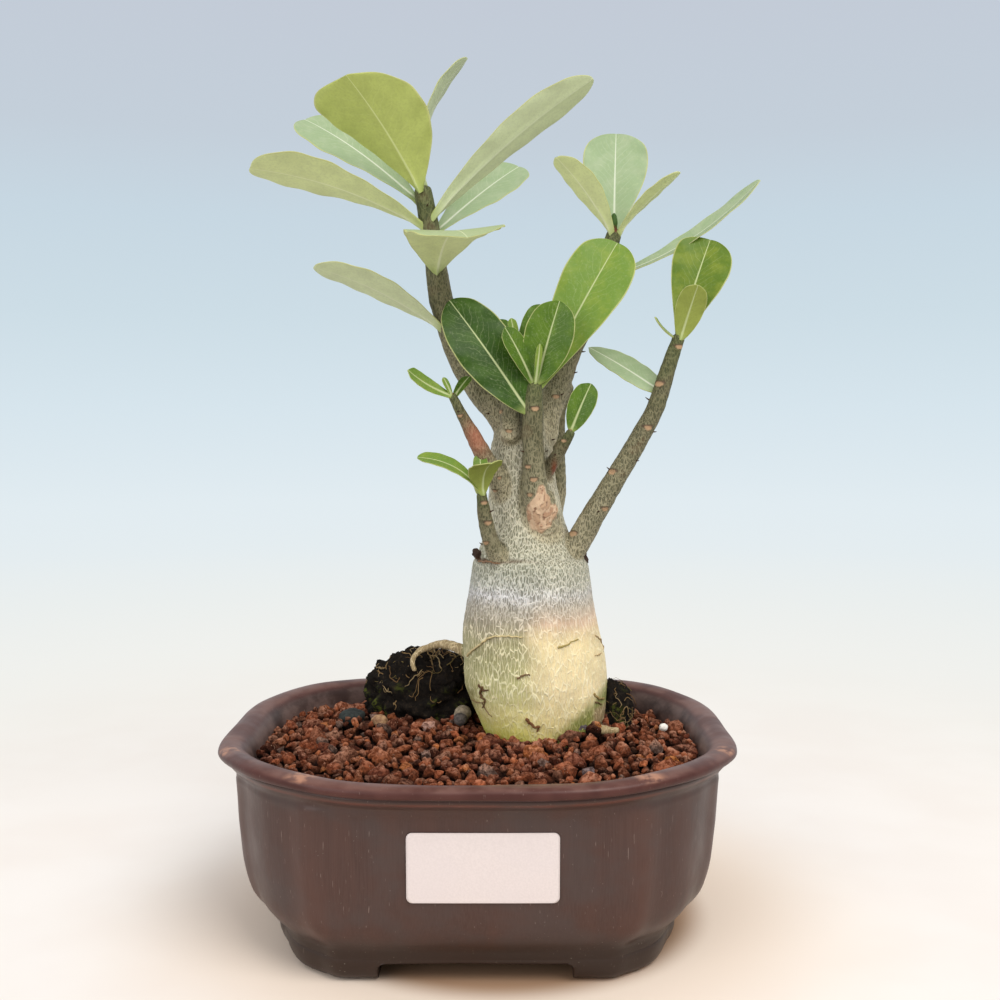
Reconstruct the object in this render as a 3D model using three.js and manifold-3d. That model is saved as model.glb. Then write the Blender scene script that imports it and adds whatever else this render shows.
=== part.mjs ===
// A potted desert rose: a swollen stem with nine shoots and their leaves, planted in crumbled red
// clay in a low eight-sided glazed pot on four feet, with a blank paper label on its front wall.
// Millimetres, +Z up, the front of the pot towards -Y. Heights in the lists below start FOOT_DROP
// above the feet, and the last step stands the feet on z = 0.
import * as THREE from "three";
import { mergeVertices } from "three/addons/utils/BufferGeometryUtils.js";
import Module from "manifold-3d";

const wasm = await Module();
wasm.setup();

// ---- Driving dimensions ----
const POT_HALF_LENGTH = 72.5; // widest point of the rim, along x
const POT_HALF_DEPTH = 64.3; // widest point of the rim, along y
const POT_HEIGHT = 51.8;
const POT_X = 0.4; // the pot's middle lies this far to the right of the zero of the lists
const POT_Y = 2; // the pot's middle lies this far behind the zero of the lists
const CORNER_RISE = 1.3; // how much higher the rim is at its cut corners
const UNDERSIDE_Z = 2.6; // underside of the pot's body, between the feet
const FOOT_DROP = 2.8; // how far the feet reach below z = 0
const FLOOR_TOP = 7.6; // upper face of the pot's floor
const DRAIN_HOLE_RADIUS = 6;
const DRAIN_HOLE_X = 25;
const GAP = 0.3; // clearance between pieces that touch
const STEM_X = 18; // the plant stands right of and behind the pot's middle
const STEM_Y = 19;
const SOIL_EDGE_Z = 46.6; // soil level at the pot wall, halfway back
const SOIL_TILT = 0.045; // how much the soil falls for each millimetre backwards
const SOIL_MOUND = 1.6; // how much higher it lies at the stem
const SOIL_HALF_LENGTH = 62.4;
const SOIL_HALF_DEPTH = 55.2;
const CRUMB_PITCH = 8.1; // spacing of the clay crumbs
const CRUMB_SIZE = 7.5;
const LABEL_LENGTH = 38;
const LABEL_HEIGHT = 18;
const LABEL_X = 2.4;
const LABEL_Z = 30.2;
const LABEL_THICKNESS = 0.6;
const LABEL_CORNER = 1.5;
const MESH_SIDE = 22; // square of plastic net over each drain hole
const MESH_THICKNESS = 0.8;
const MESH_HOLE = 6;
const BLADE_EDGE = 0.62; // thickness of a leaf at its margin
const BLADE_KEEL = 0.5; // what the midrib adds below it
const PETIOLE_HALF_WIDTH = 0.75;

// A quarter of the rim's plan, from the middle of a side to the middle of the back.
const RIM_QUARTER = [
  [72.5, 0],
  [71.9, 21],
  [69.2, 31.4],
  [58.3, 48.3],
  [44.6, 58.2],
  [31.5, 62.8],
  [0, 64.3],
];
const OUTLINE_POINTS = 40;

// Outer and inner surface of the pot, as [half length, half depth, z, squareness]: its plan is
// more nearly square at the foot than at the rim.
const OUTER_WALL = [
  [53.8, 52.5, 5.4, 0.085],
  [54.2, 52.9, 6.6, 0.08],
  [58.4, 55.2, 8.8, 0.062],
  [61.4, 57, 12.6, 0.056],
  [63.6, 57.9, 19.5, 0.046],
  [65, 58.5, 30, 0.042],
  [66.4, 58.9, 42.6, 0.03],
];
const RIM_ROLL = [
  [68, 60.4, 45.6, 0],
  [71.2, 63.2, 47.2, 0],
  [72.5, 64.3, 49, 0],
  [71.7, 63.6, 51, 0],
  [69.2, 61.4, POT_HEIGHT, 0],
  [66, 58.6, 51.2, 0],
  [63.9, 56.7, 48.8, 0],
];
const INNER_WALL = [
  [61.6, 54.4, 42, 0.02],
  [60, 52.8, 25, 0.035],
  [57, 50.4, 14, 0.045],
  [50, 45, FLOOR_TOP + 1, 0.05],
  [44, 40, FLOOR_TOP, 0.05],
];

// The swollen stem, as [z, x, y, half width, half depth].
const CAUDEX = [
  [17, 18, 19, 5, 5],
  [20, 18, 19, 9.5, 9],
  [30, 18.8, 19, 13.5, 13],
  [43.5, 20, 19, 17.4, 17],
  [48, 19.8, 19, 18.8, 18],
  [54.5, 18.7, 19, 20.6, 19.4],
  [61, 17.7, 19, 21.6, 20],
  [68, 17.2, 19, 21.3, 19.7],
  [76, 16.1, 19, 20.7, 18.9],
  [85, 15.9, 19, 19.1, 17.7],
  [92, 16, 18.8, 18.1, 16.8],
  [97.3, 15.9, 18.6, 17.2, 15.8],
  [99.4, 15.8, 18.5, 16.1, 14.8],
  [104, 15, 18.3, 13.7, 13],
  [110, 14.5, 18, 11.5, 11.4],
  [117, 13.9, 18, 10.6, 10.6],
  [125, 13.4, 18, 9.5, 9.6],
  [133, 13.4, 18, 9.1, 8.8],
  [141, 13.3, 18, 7.6, 7.4],
  [146, 13.2, 18, 4.6, 4.6],
];
const CAUDEX_SIDES = 24;

// The branches, each a list of [x, y, z, radius] from inside the stem to the growing tip.
const BRANCHES = {
  left: [
    [9.3, 17.8, 138.9, 5],
    [6.6, 17, 143.1, 4.6],
    [2.7, 17, 147.0, 4.2],
    [-1.6, 18, 152.5, 3.9],
    [-5.5, 18, 159.4, 3.7],
    [-8.5, 19, 167.5, 3.6],
    [-11.4, 19, 178, 3.6],
    [-13.4, 20, 192, 3.1],
    [-16.6, 20, 209.5, 2.7],
  ],
  middle: [
    [19.1, 19, 135.3, 4.8],
    [21.2, 20, 143.2, 4.3],
    [24.2, 22, 151.7, 4.1],
    [27.6, 24, 161.5, 3.9],
    [32.2, 26, 171.5, 3.9],
    [36, 27, 181, 3.3],
    [41.7, 28, 197.5, 2.4],
  ],
  front: [
    [19.6, 11, 108.5, 4.6],
    [17.2, 6.6, 118, 4],
    [16.3, 5, 131, 3.2],
    [16.2, 4, 142.5, 3],
    [16.6, 4, 150.5, 2.3],
  ],
  inner: [
    [10.2, 10, 137.4, 3.3],
    [9.9, 8.2, 142, 3.3],
    [10.8, 7.8, 151, 2.8],
    [11.6, 8, 160, 2.1],
  ],
  back: [
    [21.5, 23, 109, 3.6],
    [24.4, 27, 118, 2.7],
    [24.4, 27, 131.5, 2.4],
    [24.6, 24.5, 145, 2.6],
    [26.4, 23, 151, 3],
  ],
  side: [
    [8, 12.5, 119.5, 3.4],
    [2.4, 8, 129, 2.8],
    [-1, 6, 135.7, 2.3],
    [-4, 5, 141.3, 1.7],
    [-7.2, 4, 147.6, 1.3],
  ],
  low: [
    [7, 8.5, 97.5, 3],
    [3.8, 4.6, 105.5, 2.4],
    [2.2, 3, 112.2, 2.1],
    [1.3, 2, 119.4, 1.5],
  ],
  twig: [
    [18.5, 15, 122, 2.4],
    [22.2, 9.6, 128.2, 2],
    [24.8, 6.4, 132.8, 1.8],
    [27.2, 4.2, 137, 1.4],
  ],
  right: [
    [25, 16, 95.5, 4.2],
    [30, 14.4, 103.8, 3.9],
    [34.5, 13.2, 112, 3.6],
    [39, 12, 119.8, 3.3],
    [46, 11, 131.8, 3],
    [49.2, 11, 137.6, 2.8],
    [52.4, 11, 143.4, 2.7],
    [56.6, 12, 156.4, 2.3],
    [59.6, 12, 165, 1.9],
  ],
};
const BRANCH_SIDES = 9;

// Roots left on the surface: over the peat on the left, and short ends at the foot of the stem.
const ROOTS = [
  [
    [0.5, 20, 67.2, 1.6],
    [-6, 21.4, 70.2, 1.3],
    [-9.5, 23.6, 70.9, 1.15],
    [-12.6, 25.6, 70.7, 1],
    [-15.3, 27.2, 69.7, 0.85],
    [-19.2, 27.8, 67.9, 0.75],
    [-20.8, 26.6, 65.3, 0.65],
    [-20.2, 25.4, 62.7, 0.6],
  ],
  [
    [31.5, 6.5, 50.5, 1.4],
    [37, 5, 48.9, 1.1],
    [41.5, 6.6, 48.2, 0.8],
  ],
];
const ROOT_SIDES = 6;

// Short dead spurs at the collar and the callus at the foot of the front branch:
// [x, y, z] and [half width, half depth, half height].
const STEM_LUMPS = [
  [[18.6, 8.4, 115], [4.6, 3.6, 6.4]],
  [[10, 9.6, 137], [3.3, 2.9, 3.2]],
  [[-0.4, 14, 100.2], [1.6, 1.4, 2]],
  [[32.2, 16.5, 99], [1.6, 1.4, 2]],
  [[18, 19, 135], [4.9, 5.6, 4.6]],
  [[41.7, 28, 200.4], [1.1, 1, 3.6]],
];

// The leaves: base and tip, full width, the way the upper face looks, how far the midrib bows
// towards that face, how far the halves fold up, the outline as [slenderness, bluntness], and how
// much less blunt its one side is than the other.
const BROAD = [1.2, 0.52];
const SPOON = [1.25, 0.42];
const LONG = [1.05, 0.5];
const OVAL = [0.85, 0.55];
const BLUNT = [1.05, 0.36];
const ROUND = [0.95, 0.42];
const POINTED = [0.6, 0.8];
const LEAVES = {
  leaf_left_1: [[-16.9, 17.6, 208.6], [-36.9, 1, 238.3], 29.5, [0.25, 0.85, 0.45], 2.4, 0.08, BROAD, 0.7],
  leaf_left_2: [[-17.6, 21, 206], [-55, 40, 235.4], 20.5, [0.35, -0.75, 0.55], 2.2, 0.12, SPOON],
  leaf_left_3: [[-15.8, 19, 198.6], [-65.2, 4, 213], 20.5, [0.25, 0.35, 0.9], 3.2, 0.14, BLUNT],
  leaf_left_4: [[-16.4, 21, 209.6], [-3.4, 27, 250.6], 11, [-0.98, 0.05, 0.25], 5.4, 0.1, LONG],
  leaf_left_5: [[-14.2, 18.4, 200.8], [33, 2, 237.6], 13, [-0.45, 0.6, 0.65], 3, 0.16, LONG],
  leaf_left_6: [[-13.6, 21.6, 196.6], [12.6, 43, 221.4], 17, [-0.2, -0.8, 0.55], 1.2, 0.12, SPOON],
  leaf_left_7: [[-12.6, 17.4, 184.6], [-2.2, -20, 189.6], 28, [-0.14, 0.15, 1], 6, 0.06, ROUND],
  leaf_left_8: [[-10, 17.6, 167.6], [-47.1, 4, 184.9], 14, [0.3, 0.45, 0.85], 2.4, 0.12, LONG],
  leaf_middle_1: [[41.3, 27, 197.6], [23.4, 14, 218.2], 11.5, [0.65, 0.6, 0.45], 1.6, 0.16, LONG],
  leaf_middle_2: [[41.9, 29.6, 197.4], [43.3, 40, 231], 20.5, [0, -0.95, 0.3], -1.6, 0.08, SPOON],
  leaf_middle_3: [[42.4, 27.4, 197.4], [60.4, 18, 214.6], 9, [-0.6, 0.3, 0.75], 1, 0.14, LONG],
  leaf_middle_4: [[37.4, 27, 184], [84.7, 20, 212.7], 12, [-0.3, -0.35, 0.88], -4.4, 0.14, LONG],
  leaf_front_1: [[15.2, 3, 142.4], [-8, 4.4, 175.2], 17.8, [0.15, -0.95, 0.25], 1.4, 0.08, OVAL],
  leaf_front_2: [[17, 3.8, 148.4], [41.4, 14, 193.1], 20, [-0.1, -0.95, 0.3], 2.2, 0.1, SPOON],
  leaf_front_3: [[17.2, 3.2, 151], [23.6, -1, 174.5], 14.4, [-0.15, -0.95, 0.2], 1, 0.12, OVAL],
  leaf_front_4: [[16.1, 3.2, 151.2], [8, -0.6, 167], 6.6, [0.3, -0.9, 0.3], 0.8, 0.2, LONG],
  leaf_front_5: [[16.8, 2.4, 151], [18, -1.4, 162.4], 2, [0.1, -0.9, 0.2], 0.4, 0.1, LONG],
  leaf_inner_1: [[12, 8.2, 160.4], [18.9, 11, 174.6], 6, [-0.2, -0.85, 0.3], 0.6, 0.2, LONG],
  leaf_inner_2: [[11.2, 8.6, 160.4], [6.4, 12.4, 170.4], 4.6, [0.2, -0.8, 0.4], 0.5, 0.16, LONG],
  leaf_inner_3: [[11.6, 7.4, 160.4], [9.8, 6.2, 170.3], 3, [0.1, -0.9, 0.2], 0.5, 0.2, LONG],
  leaf_side_1: [[-7.4, 3.6, 147.6], [-19.6, -3, 154.8], 4.8, [0.3, -0.8, 0.5], -1.2, 0.2, LONG],
  leaf_side_2: [[-7.3, 3.7, 147.4], [-9.9, 3, 153], 2, [0.4, -0.8, 0.3], 0.2, 0.1, LONG],
  leaf_side_3: [[-6.9, 4.5, 147], [-2.4, 9.4, 153.4], 3.6, [-0.3, -0.8, 0.4], 0.4, 0.16, LONG],
  leaf_low_1: [[0.8, 2, 119.8], [-17, -4, 130], 6.4, [0.2, -0.55, 0.8], 3.2, 0.16, LONG],
  leaf_low_2: [[1.5, 1.4, 119], [4.2, -7, 128.6], 10.2, [-0.4, 0.6, 0.75], 2.4, 0.1, ROUND],
  leaf_low_3: [[1.4, 2.6, 119.2], [0.7, 6, 130.8], 4.4, [0, -0.9, 0.3], 0.5, 0.16, LONG],
  leaf_twig_1: [[27.3, 4.2, 137.4], [33, 3, 151.2], 8, [-0.2, -0.95, 0.2], 0.8, 0.14, OVAL],
  leaf_right_1: [[59.3, 12.8, 164.4], [70, 20, 194.9], 18, [-0.2, -0.95, 0.3], 1.4, 0.1, SPOON, -0.2],
  leaf_right_2: [[59.9, 11.2, 164.4], [63.8, 4, 179.6], 8.6, [0.1, 0.9, 0.2], 1, 0.14, OVAL],
  leaf_right_3: [[59.2, 11.8, 164.6], [52.1, 9, 170.9], 2, [0.3, -0.5, 0.8], -0.8, 0.1, LONG],
  leaf_right_4: [[54.6, 12.8, 149], [34.3, 31, 163.4], 10.4, [-0.1, -0.5, 0.85], 0.6, 0.12, POINTED],
};
const LARGE_BLADE = 12.5; // width from which a blade gets the finer grid

// Peat left from an earlier pot: [x, y, z], [half width, half depth, half height].
const PEAT_LEFT = [[-17.5, 37.6, 51.5], [19, 12, 15.2]];
const PEAT_SHOULDER = [[-9, 33, 60.5], [6.6, 7, 7]];
const PEAT_RIGHT = [[42, 20, 50], [5.8, 6.4, 10.5]];
const PEBBLES = {
  pebble_round: [[-5.2, 27, 48.8], [2.7, 2.4, 2.3], 0xb5a489],
  pebble_dark: [[-5.6, 20, 48.4], [2.2, 2, 1.9], 0x5a5350],
  pebble_tan: [[-30.8, 21, 47.6], [2.6, 2.2, 1.9], 0x9c7550],
  pebble_mossy: [[-40, 26, 47.4], [4.2, 3.4, 2.9], 0x2b3a35],
  bead_white: [[56.4, 14, 47.4], [1.3, 1.3, 1.3], 0xe9e4d8],
};

// ---- Meshes and booleans ----
const v3 = (p) => new THREE.Vector3(p[0], p[1], p[2]);

function randomSource(seed) {
  let state = seed;
  return () => {
    state = (state + 0x6d2b79f5) | 0;
    let t = Math.imul(state ^ (state >>> 15), 1 | state);
    t = (t + Math.imul(t ^ (t >>> 7), 61 | t)) ^ t;
    return ((t ^ (t >>> 14)) >>> 0) / 4294967296;
  };
}

function geometryOf(vertices, triangles) {
  const geometry = new THREE.BufferGeometry();
  geometry.setAttribute("position", new THREE.Float32BufferAttribute(vertices, 3));
  geometry.setIndex(triangles);
  return geometry;
}

// A closed geometry as a solid that can be joined and cut.
function solidOf(geometry) {
  const bare = geometry.clone();
  bare.deleteAttribute("normal");
  bare.deleteAttribute("uv");
  const merged = mergeVertices(bare, 1e-4);
  return new wasm.Manifold(
    new wasm.Mesh({
      numProp: 3,
      vertProperties: new Float32Array(merged.attributes.position.array),
      triVerts: new Uint32Array(merged.index.array),
    }),
  );
}

// Only the largest body of a solid: a cut can leave a scrap beside it.
function largestBody(solid) {
  const bodies = solid.decompose();
  return bodies.reduce((a, b) => (b.volume() > a.volume() ? b : a));
}

function meshOf(name, solid, color, roughness, metalness = 0) {
  const { vertProperties, triVerts } = solid.getMesh();
  const geometry = geometryOf(Array.from(vertProperties), Array.from(triVerts));
  geometry.computeVertexNormals();
  const material = new THREE.MeshStandardMaterial({ color, roughness, metalness });
  const mesh = new THREE.Mesh(geometry, material);
  mesh.name = name;
  return mesh;
}

// A closed skin over rings of equally many points, each ring counter-clockwise seen from the next.
function loft(rings) {
  const count = rings[0].length;
  const vertices = rings.flat().flatMap((p) => [p.x, p.y, p.z]);
  const triangles = [];
  const at = (ring, i) => ring * count + (i % count);
  for (let r = 0; r + 1 < rings.length; r++)
    for (let i = 0; i < count; i++)
      triangles.push(at(r, i), at(r, i + 1), at(r + 1, i + 1), at(r, i), at(r + 1, i + 1), at(r + 1, i));
  const last = rings.length - 1;
  for (const [ring, turn] of [[0, 1], [last, 0]]) {
    const centre = new THREE.Vector3();
    rings[ring].forEach((p) => centre.addScaledVector(p, 1 / count));
    const hub = vertices.length / 3;
    vertices.push(centre.x, centre.y, centre.z);
    for (let i = 0; i < count; i++)
      triangles.push(hub, at(ring, i + turn), at(ring, i + 1 - turn));
  }
  return geometryOf(vertices, triangles);
}

// ---- The pot ----
function rimOutline() {
  const quarter = RIM_QUARTER.map(([x, y]) => new THREE.Vector3(x, y, 0));
  const inner = quarter.slice(1, -1);
  const flip = (points, sx, sy) => points.map((p) => new THREE.Vector3(p.x * sx, p.y * sy, 0));
  const closed = [
    ...quarter,
    ...flip(inner, -1, 1).reverse(),
    ...flip(quarter, -1, -1),
    ...flip(inner, 1, -1).reverse(),
  ];
  const curve = new THREE.CatmullRomCurve3(closed, true, "centripetal");
  return curve.getSpacedPoints(OUTLINE_POINTS).slice(0, OUTLINE_POINTS);
}
const OUTLINE = rimOutline();

// One level of the pot: the rim's plan scaled, with its cut corners pushed out by squareness and,
// near the rim, a little raised.
function potRing([halfLength, halfDepth, z, squareness], grow = 0) {
  return OUTLINE.map((p) => {
    const [x, y] = [p.x / POT_HALF_LENGTH, p.y / POT_HALF_DEPTH];
    const diagonal = Math.sin(2 * Math.atan2(y, x)) ** 4;
    const [l, d] = [halfLength + grow, halfDepth + grow].map((v) => v * (1 + squareness * diagonal));
    const rise = CORNER_RISE * diagonal * Math.min(Math.max((z - 42) / 8, 0), 1);
    return new THREE.Vector3(x * l + POT_X, y * d + POT_Y, z + rise);
  });
}

const potLoft = (profile, grow = 0) => solidOf(loft(profile.map((level) => potRing(level, grow))));

function box(width, depth, height, centre) {
  const geometry = new THREE.BoxGeometry(width, depth, height);
  return solidOf(geometry.translate(centre[0], centre[1], centre[2]));
}

function potFeet() {
  const footTop = UNDERSIDE_Z + 1.4;
  const square = OUTER_WALL[0][3];
  const outside = potLoft([
    [48.2, 46, -FOOT_DROP, 0.155],
    [51.5, 49.8, -0.8, 0.13],
    [54, 52.5, footTop, 0.095],
  ]);
  const inside = potLoft([[38, 36, -FOOT_DROP - 1, square], [38, 36, footTop + 1, square]]);
  const between = box(160, 44, 20, [POT_X, POT_Y, 0]).add(box(50, 160, 20, [POT_X, POT_Y, 0]));
  return outside.subtract(inside).subtract(between);
}

function potBody() {
  const square = OUTER_WALL[0][3];
  const underside = [
    [30, 28, UNDERSIDE_Z, square],
    [51, 49.8, UNDERSIDE_Z, square],
    [53.6, 52.3, UNDERSIDE_Z + 0.9, square],
  ];
  const shell = potLoft([...underside, ...OUTER_WALL, ...RIM_ROLL, ...INNER_WALL]);
  const holes = [-1, 1].map((side) => {
    const hole = new THREE.CylinderGeometry(DRAIN_HOLE_RADIUS, DRAIN_HOLE_RADIUS, 20, 20);
    return solidOf(hole.rotateX(Math.PI / 2).translate(side * DRAIN_HOLE_X + POT_X, POT_Y, 0));
  });
  return shell.add(potFeet()).subtract(holes[0]).subtract(holes[1]);
}

// The paper label follows the wall: a thin slice of the wall's own shape, cut to a rounded oblong.
function plantLabel() {
  const wall = [[30, 28, 5, 0], ...OUTER_WALL.slice(1), [60, 52, 43, 0]];
  const slice = potLoft(wall, GAP + LABEL_THICKNESS).subtract(potLoft(wall, GAP));
  const shape = new THREE.Shape();
  const [w, h, r] = [LABEL_LENGTH / 2, LABEL_HEIGHT / 2, LABEL_CORNER];
  shape.moveTo(-w + r, -h).lineTo(w - r, -h).quadraticCurveTo(w, -h, w, -h + r);
  shape.lineTo(w, h - r).quadraticCurveTo(w, h, w - r, h).lineTo(-w + r, h);
  shape.quadraticCurveTo(-w, h, -w, h - r).lineTo(-w, -h + r).quadraticCurveTo(-w, -h, -w + r, -h);
  const oblong = new THREE.ExtrudeGeometry(shape, { depth: 40, bevelEnabled: false, curveSegments: 3 });
  oblong.rotateX(Math.PI / 2).translate(LABEL_X, -POT_HALF_DEPTH + 23, LABEL_Z);
  return largestBody(slice.intersect(solidOf(oblong)));
}

const meshPlace = (side) => [side * DRAIN_HOLE_X + POT_X, POT_Y, FLOOR_TOP + GAP];

function drainMesh(side) {
  const [x, y, z] = meshPlace(side);
  const middle = z + MESH_THICKNESS / 2;
  let net = box(MESH_SIDE, MESH_SIDE, MESH_THICKNESS, [x, y, middle]);
  const pitch = MESH_SIDE / 4.4;
  for (const column of [-1, 1])
    for (const row of [-1, 1]) {
      const place = [x + column * pitch, y + row * pitch, middle];
      net = net.subtract(box(MESH_HOLE, MESH_HOLE, 2 * MESH_THICKNESS, place));
    }
  return net;
}

// ---- The stem ----
// A round stem through the points, grown by extra all round, with blunt rounded ends.
function limb(points, sides, extra = 0) {
  const curve = new THREE.CatmullRomCurve3(points.map(v3), false, "centripetal");
  const steps = points.length - 1;
  const rings = [];
  let across = new THREE.Vector3(0, -1, 0);
  const ringAt = (centre, tangent, radius) => {
    across = across.clone().addScaledVector(tangent, -across.dot(tangent)).normalize();
    const other = tangent.clone().cross(across);
    return Array.from({ length: sides }, (_, i) => {
      const angle = (2 * Math.PI * i) / sides;
      return centre
        .clone()
        .addScaledVector(across, radius * Math.cos(angle))
        .addScaledVector(other, radius * Math.sin(angle));
    });
  };
  for (let i = 0; i <= steps; i++) {
    const radius = points[i][3] + extra;
    const centre = curve.getPoint(i / steps);
    const tangent = curve.getTangent(i / steps);
    const ended = (way) => centre.clone().addScaledVector(tangent, (way * radius) / 2);
    if (i === 0) rings.push(ringAt(ended(-1), tangent, radius * 0.6));
    rings.push(ringAt(centre, tangent, radius));
    if (i === steps) rings.push(ringAt(ended(1), tangent, radius * 0.6));
  }
  return solidOf(loft(rings));
}

// The swollen stem's section is slightly lobed, as the roots below pull it.
function caudexRing([z, x, y, halfWidth, halfDepth], extra) {
  return Array.from({ length: CAUDEX_SIDES }, (_, i) => {
    const angle = (2 * Math.PI * i) / CAUDEX_SIDES;
    const low = Math.max(0, 1 - Math.abs(z - 58) / 40);
    const lobe = 1 + 0.018 * low * Math.cos(5 * angle + 0.6);
    return new THREE.Vector3(
      x + (halfWidth * lobe + extra) * Math.cos(angle),
      y + (halfDepth * lobe + extra) * Math.sin(angle),
      z,
    );
  });
}

// A rounded lump: a ball of low faces, stretched and dented by a seeded draw.
function lump([centre, radii], detail, dent, seed, extra = 0) {
  const geometry = mergeVertices(stripped(new THREE.IcosahedronGeometry(1, detail)), 1e-4);
  const random = randomSource(seed);
  const place = geometry.attributes.position;
  for (let i = 0; i < place.count; i++) {
    const scale = 1 - dent * random();
    place.setXYZ(
      i,
      centre[0] + place.getX(i) * (radii[0] * scale + extra),
      centre[1] + place.getY(i) * (radii[1] * scale + extra),
      centre[2] + place.getZ(i) * (radii[2] * scale + extra),
    );
  }
  return solidOf(geometry);
}

function stripped(geometry) {
  geometry.deleteAttribute("normal");
  geometry.deleteAttribute("uv");
  return geometry;
}

function stem(extra = 0) {
  const rings = CAUDEX.map((ring) => caudexRing(ring, extra));
  if (extra) rings[0].forEach((p) => p.setZ(p.z - extra));
  let solid = solidOf(loft(rings));
  for (const points of Object.values(BRANCHES)) solid = solid.add(limb(points, BRANCH_SIDES, extra));
  for (const points of ROOTS) solid = solid.add(limb(points, ROOT_SIDES, extra));
  STEM_LUMPS.forEach((place, i) => {
    const detail = place[1][0] > 3 ? 1 : 0;
    solid = solid.add(lump(place, detail, 0.12, 40 + i, extra));
  });
  return solid;
}

// ---- The leaves ----
// The point of a blade at u along it and v across it, on its upper (+1) or lower (-1) face.
function bladePoint(leaf, u, v, face, extra) {
  const [base, tip, width, up, bow, fold, [slenderness, blunt], skew = 0] = leaf;
  const chord = v3(tip).sub(v3(base));
  const length = chord.length();
  const along = chord.clone().normalize();
  const normal = v3(up).addScaledVector(along, -v3(up).dot(along)).normalize();
  const slope = (4 * bow * (1 - 2 * u)) / length;
  const out = normal.clone().addScaledVector(along, -slope).normalize();
  const side = along.clone().cross(normal);
  const bluntness = blunt * (1 - skew * v);
  const peak = slenderness / (slenderness + bluntness);
  const most = peak ** slenderness * (1 - peak) ** bluntness;
  const outline = (u ** slenderness * (1 - u) ** bluntness) / most;
  const petiole = Math.min(PETIOLE_HALF_WIDTH, width / 6);
  const half = petiole + (width / 2 - petiole) * outline + extra;
  const wave = 0.02 * width * Math.sin(9 * u + 2 * v + length) * v * v * outline;
  const lift = fold * width * 0.5 * outline * Math.abs(v) ** 1.4;
  const keel = BLADE_KEEL * (1 - Math.abs(v)) * (1.6 - u);
  const thickness = face > 0 ? BLADE_EDGE / 2 + extra : -BLADE_EDGE / 2 - extra - keel;
  return v3(base)
    .addScaledVector(along, length * u)
    .addScaledVector(normal, 4 * bow * u * (1 - u))
    .addScaledVector(side, half * v)
    .addScaledVector(out, lift + wave + thickness);
}

const FINE_ROWS = [0, 0.12, 0.28, 0.45, 0.62, 0.77, 0.89, 0.97, 1];
const COARSE_ROWS = [0, 0.22, 0.46, 0.7, 0.9, 1];

// Both faces of a blade are split into triangles alike, and joined round the margin.
function blade(leaf, extra = 0) {
  const rows = leaf[2] >= LARGE_BLADE ? FINE_ROWS : COARSE_ROWS;
  const columns = leaf[2] >= LARGE_BLADE ? [-1, -0.55, 0, 0.55, 1] : [-1, 0, 1];
  const vertices = [];
  for (const face of [1, -1])
    for (const u of rows)
      for (const v of columns) {
        const p = bladePoint(leaf, u, v, face, extra);
        vertices.push(p.x, p.y, p.z);
      }
  const across = columns.length;
  const lower = rows.length * across;
  const at = (row, column) => row * across + column;
  const triangles = [];
  const quad = (a, b, c, d) => triangles.push(a, b, c, a, c, d);
  for (let r = 0; r + 1 < rows.length; r++)
    for (let c = 0; c + 1 < across; c++) {
      const [a, b, d, e] = [at(r, c), at(r, c + 1), at(r + 1, c + 1), at(r + 1, c)];
      quad(a, b, d, e);
      triangles.push(lower + a, lower + d, lower + b, lower + a, lower + e, lower + d);
    }
  const margin = [];
  for (let c = 0; c < across; c++) margin.push(at(0, c));
  for (let r = 1; r < rows.length; r++) margin.push(at(r, across - 1));
  for (let c = across - 2; c >= 0; c--) margin.push(at(rows.length - 1, c));
  for (let r = rows.length - 2; r > 0; r--) margin.push(at(r, 0));
  margin.forEach((a, i) => {
    const b = margin[(i + 1) % margin.length];
    quad(a, lower + a, lower + b, b);
  });
  return solidOf(geometryOf(vertices, triangles));
}

// Each leaf is cut clear of the stem and of the leaves placed before it.
function clearLeaves(stemClear) {
  const placed = [];
  return Object.entries(LEAVES).map(([name, leaf]) => {
    let solid = blade(leaf).subtract(stemClear);
    for (const other of placed)
      if (!solid.intersect(other).isEmpty()) solid = solid.subtract(other);
    placed.push(blade(leaf, GAP));
    return [name, largestBody(solid)];
  });
}

// ---- The soil ----
const soilLevel = (x, y) =>
  SOIL_EDGE_Z -
  SOIL_TILT * (y - POT_Y) +
  SOIL_MOUND * Math.exp(-((x - STEM_X) ** 2 + (y - STEM_Y) ** 2) / 34 ** 2);

// The pot's inside, clear of its wall, from the floor up to the given level.
function cavity(...top) {
  const walls = INNER_WALL.map(([l, d, z, square]) => [l - GAP, d - GAP, z, square]).reverse();
  walls[0][2] += GAP;
  walls[1][2] += GAP;
  return [...walls, ...top];
}

function soilBase() {
  const rings = cavity().map((level) => potRing(level));
  for (const share of [1, 0.5]) {
    const level = [SOIL_HALF_LENGTH * share, SOIL_HALF_DEPTH * share, 0, RIM_ROLL[6][3]];
    rings.push(potRing(level).map((p) => p.setZ(soilLevel(p.x, p.y))));
  }
  return solidOf(loft(rings));
}

// A crumb is an uneven eight-faced grain, turned any way and half sunk in the soil.
function crumb(x, y, random) {
  const geometry = mergeVertices(stripped(new THREE.OctahedronGeometry(CRUMB_SIZE / 2)), 1e-4);
  const place = geometry.attributes.position;
  for (let i = 0; i < place.count; i++) {
    const pull = 0.75 + 0.35 * random();
    place.setXYZ(i, place.getX(i) * pull, place.getY(i) * pull, place.getZ(i) * pull);
  }
  const turn = new THREE.Euler(random() * Math.PI, random() * Math.PI, random() * Math.PI);
  geometry.applyMatrix4(new THREE.Matrix4().makeRotationFromEuler(turn));
  return solidOf(geometry.translate(x, y, soilLevel(x, y) + 0.6 * random()));
}

const within = (l, d) => (x, y) =>
  Math.hypot(x / l, y / d) < 1 || (Math.abs(x) < l * 0.72 && Math.abs(y) < d * 0.72);

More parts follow.
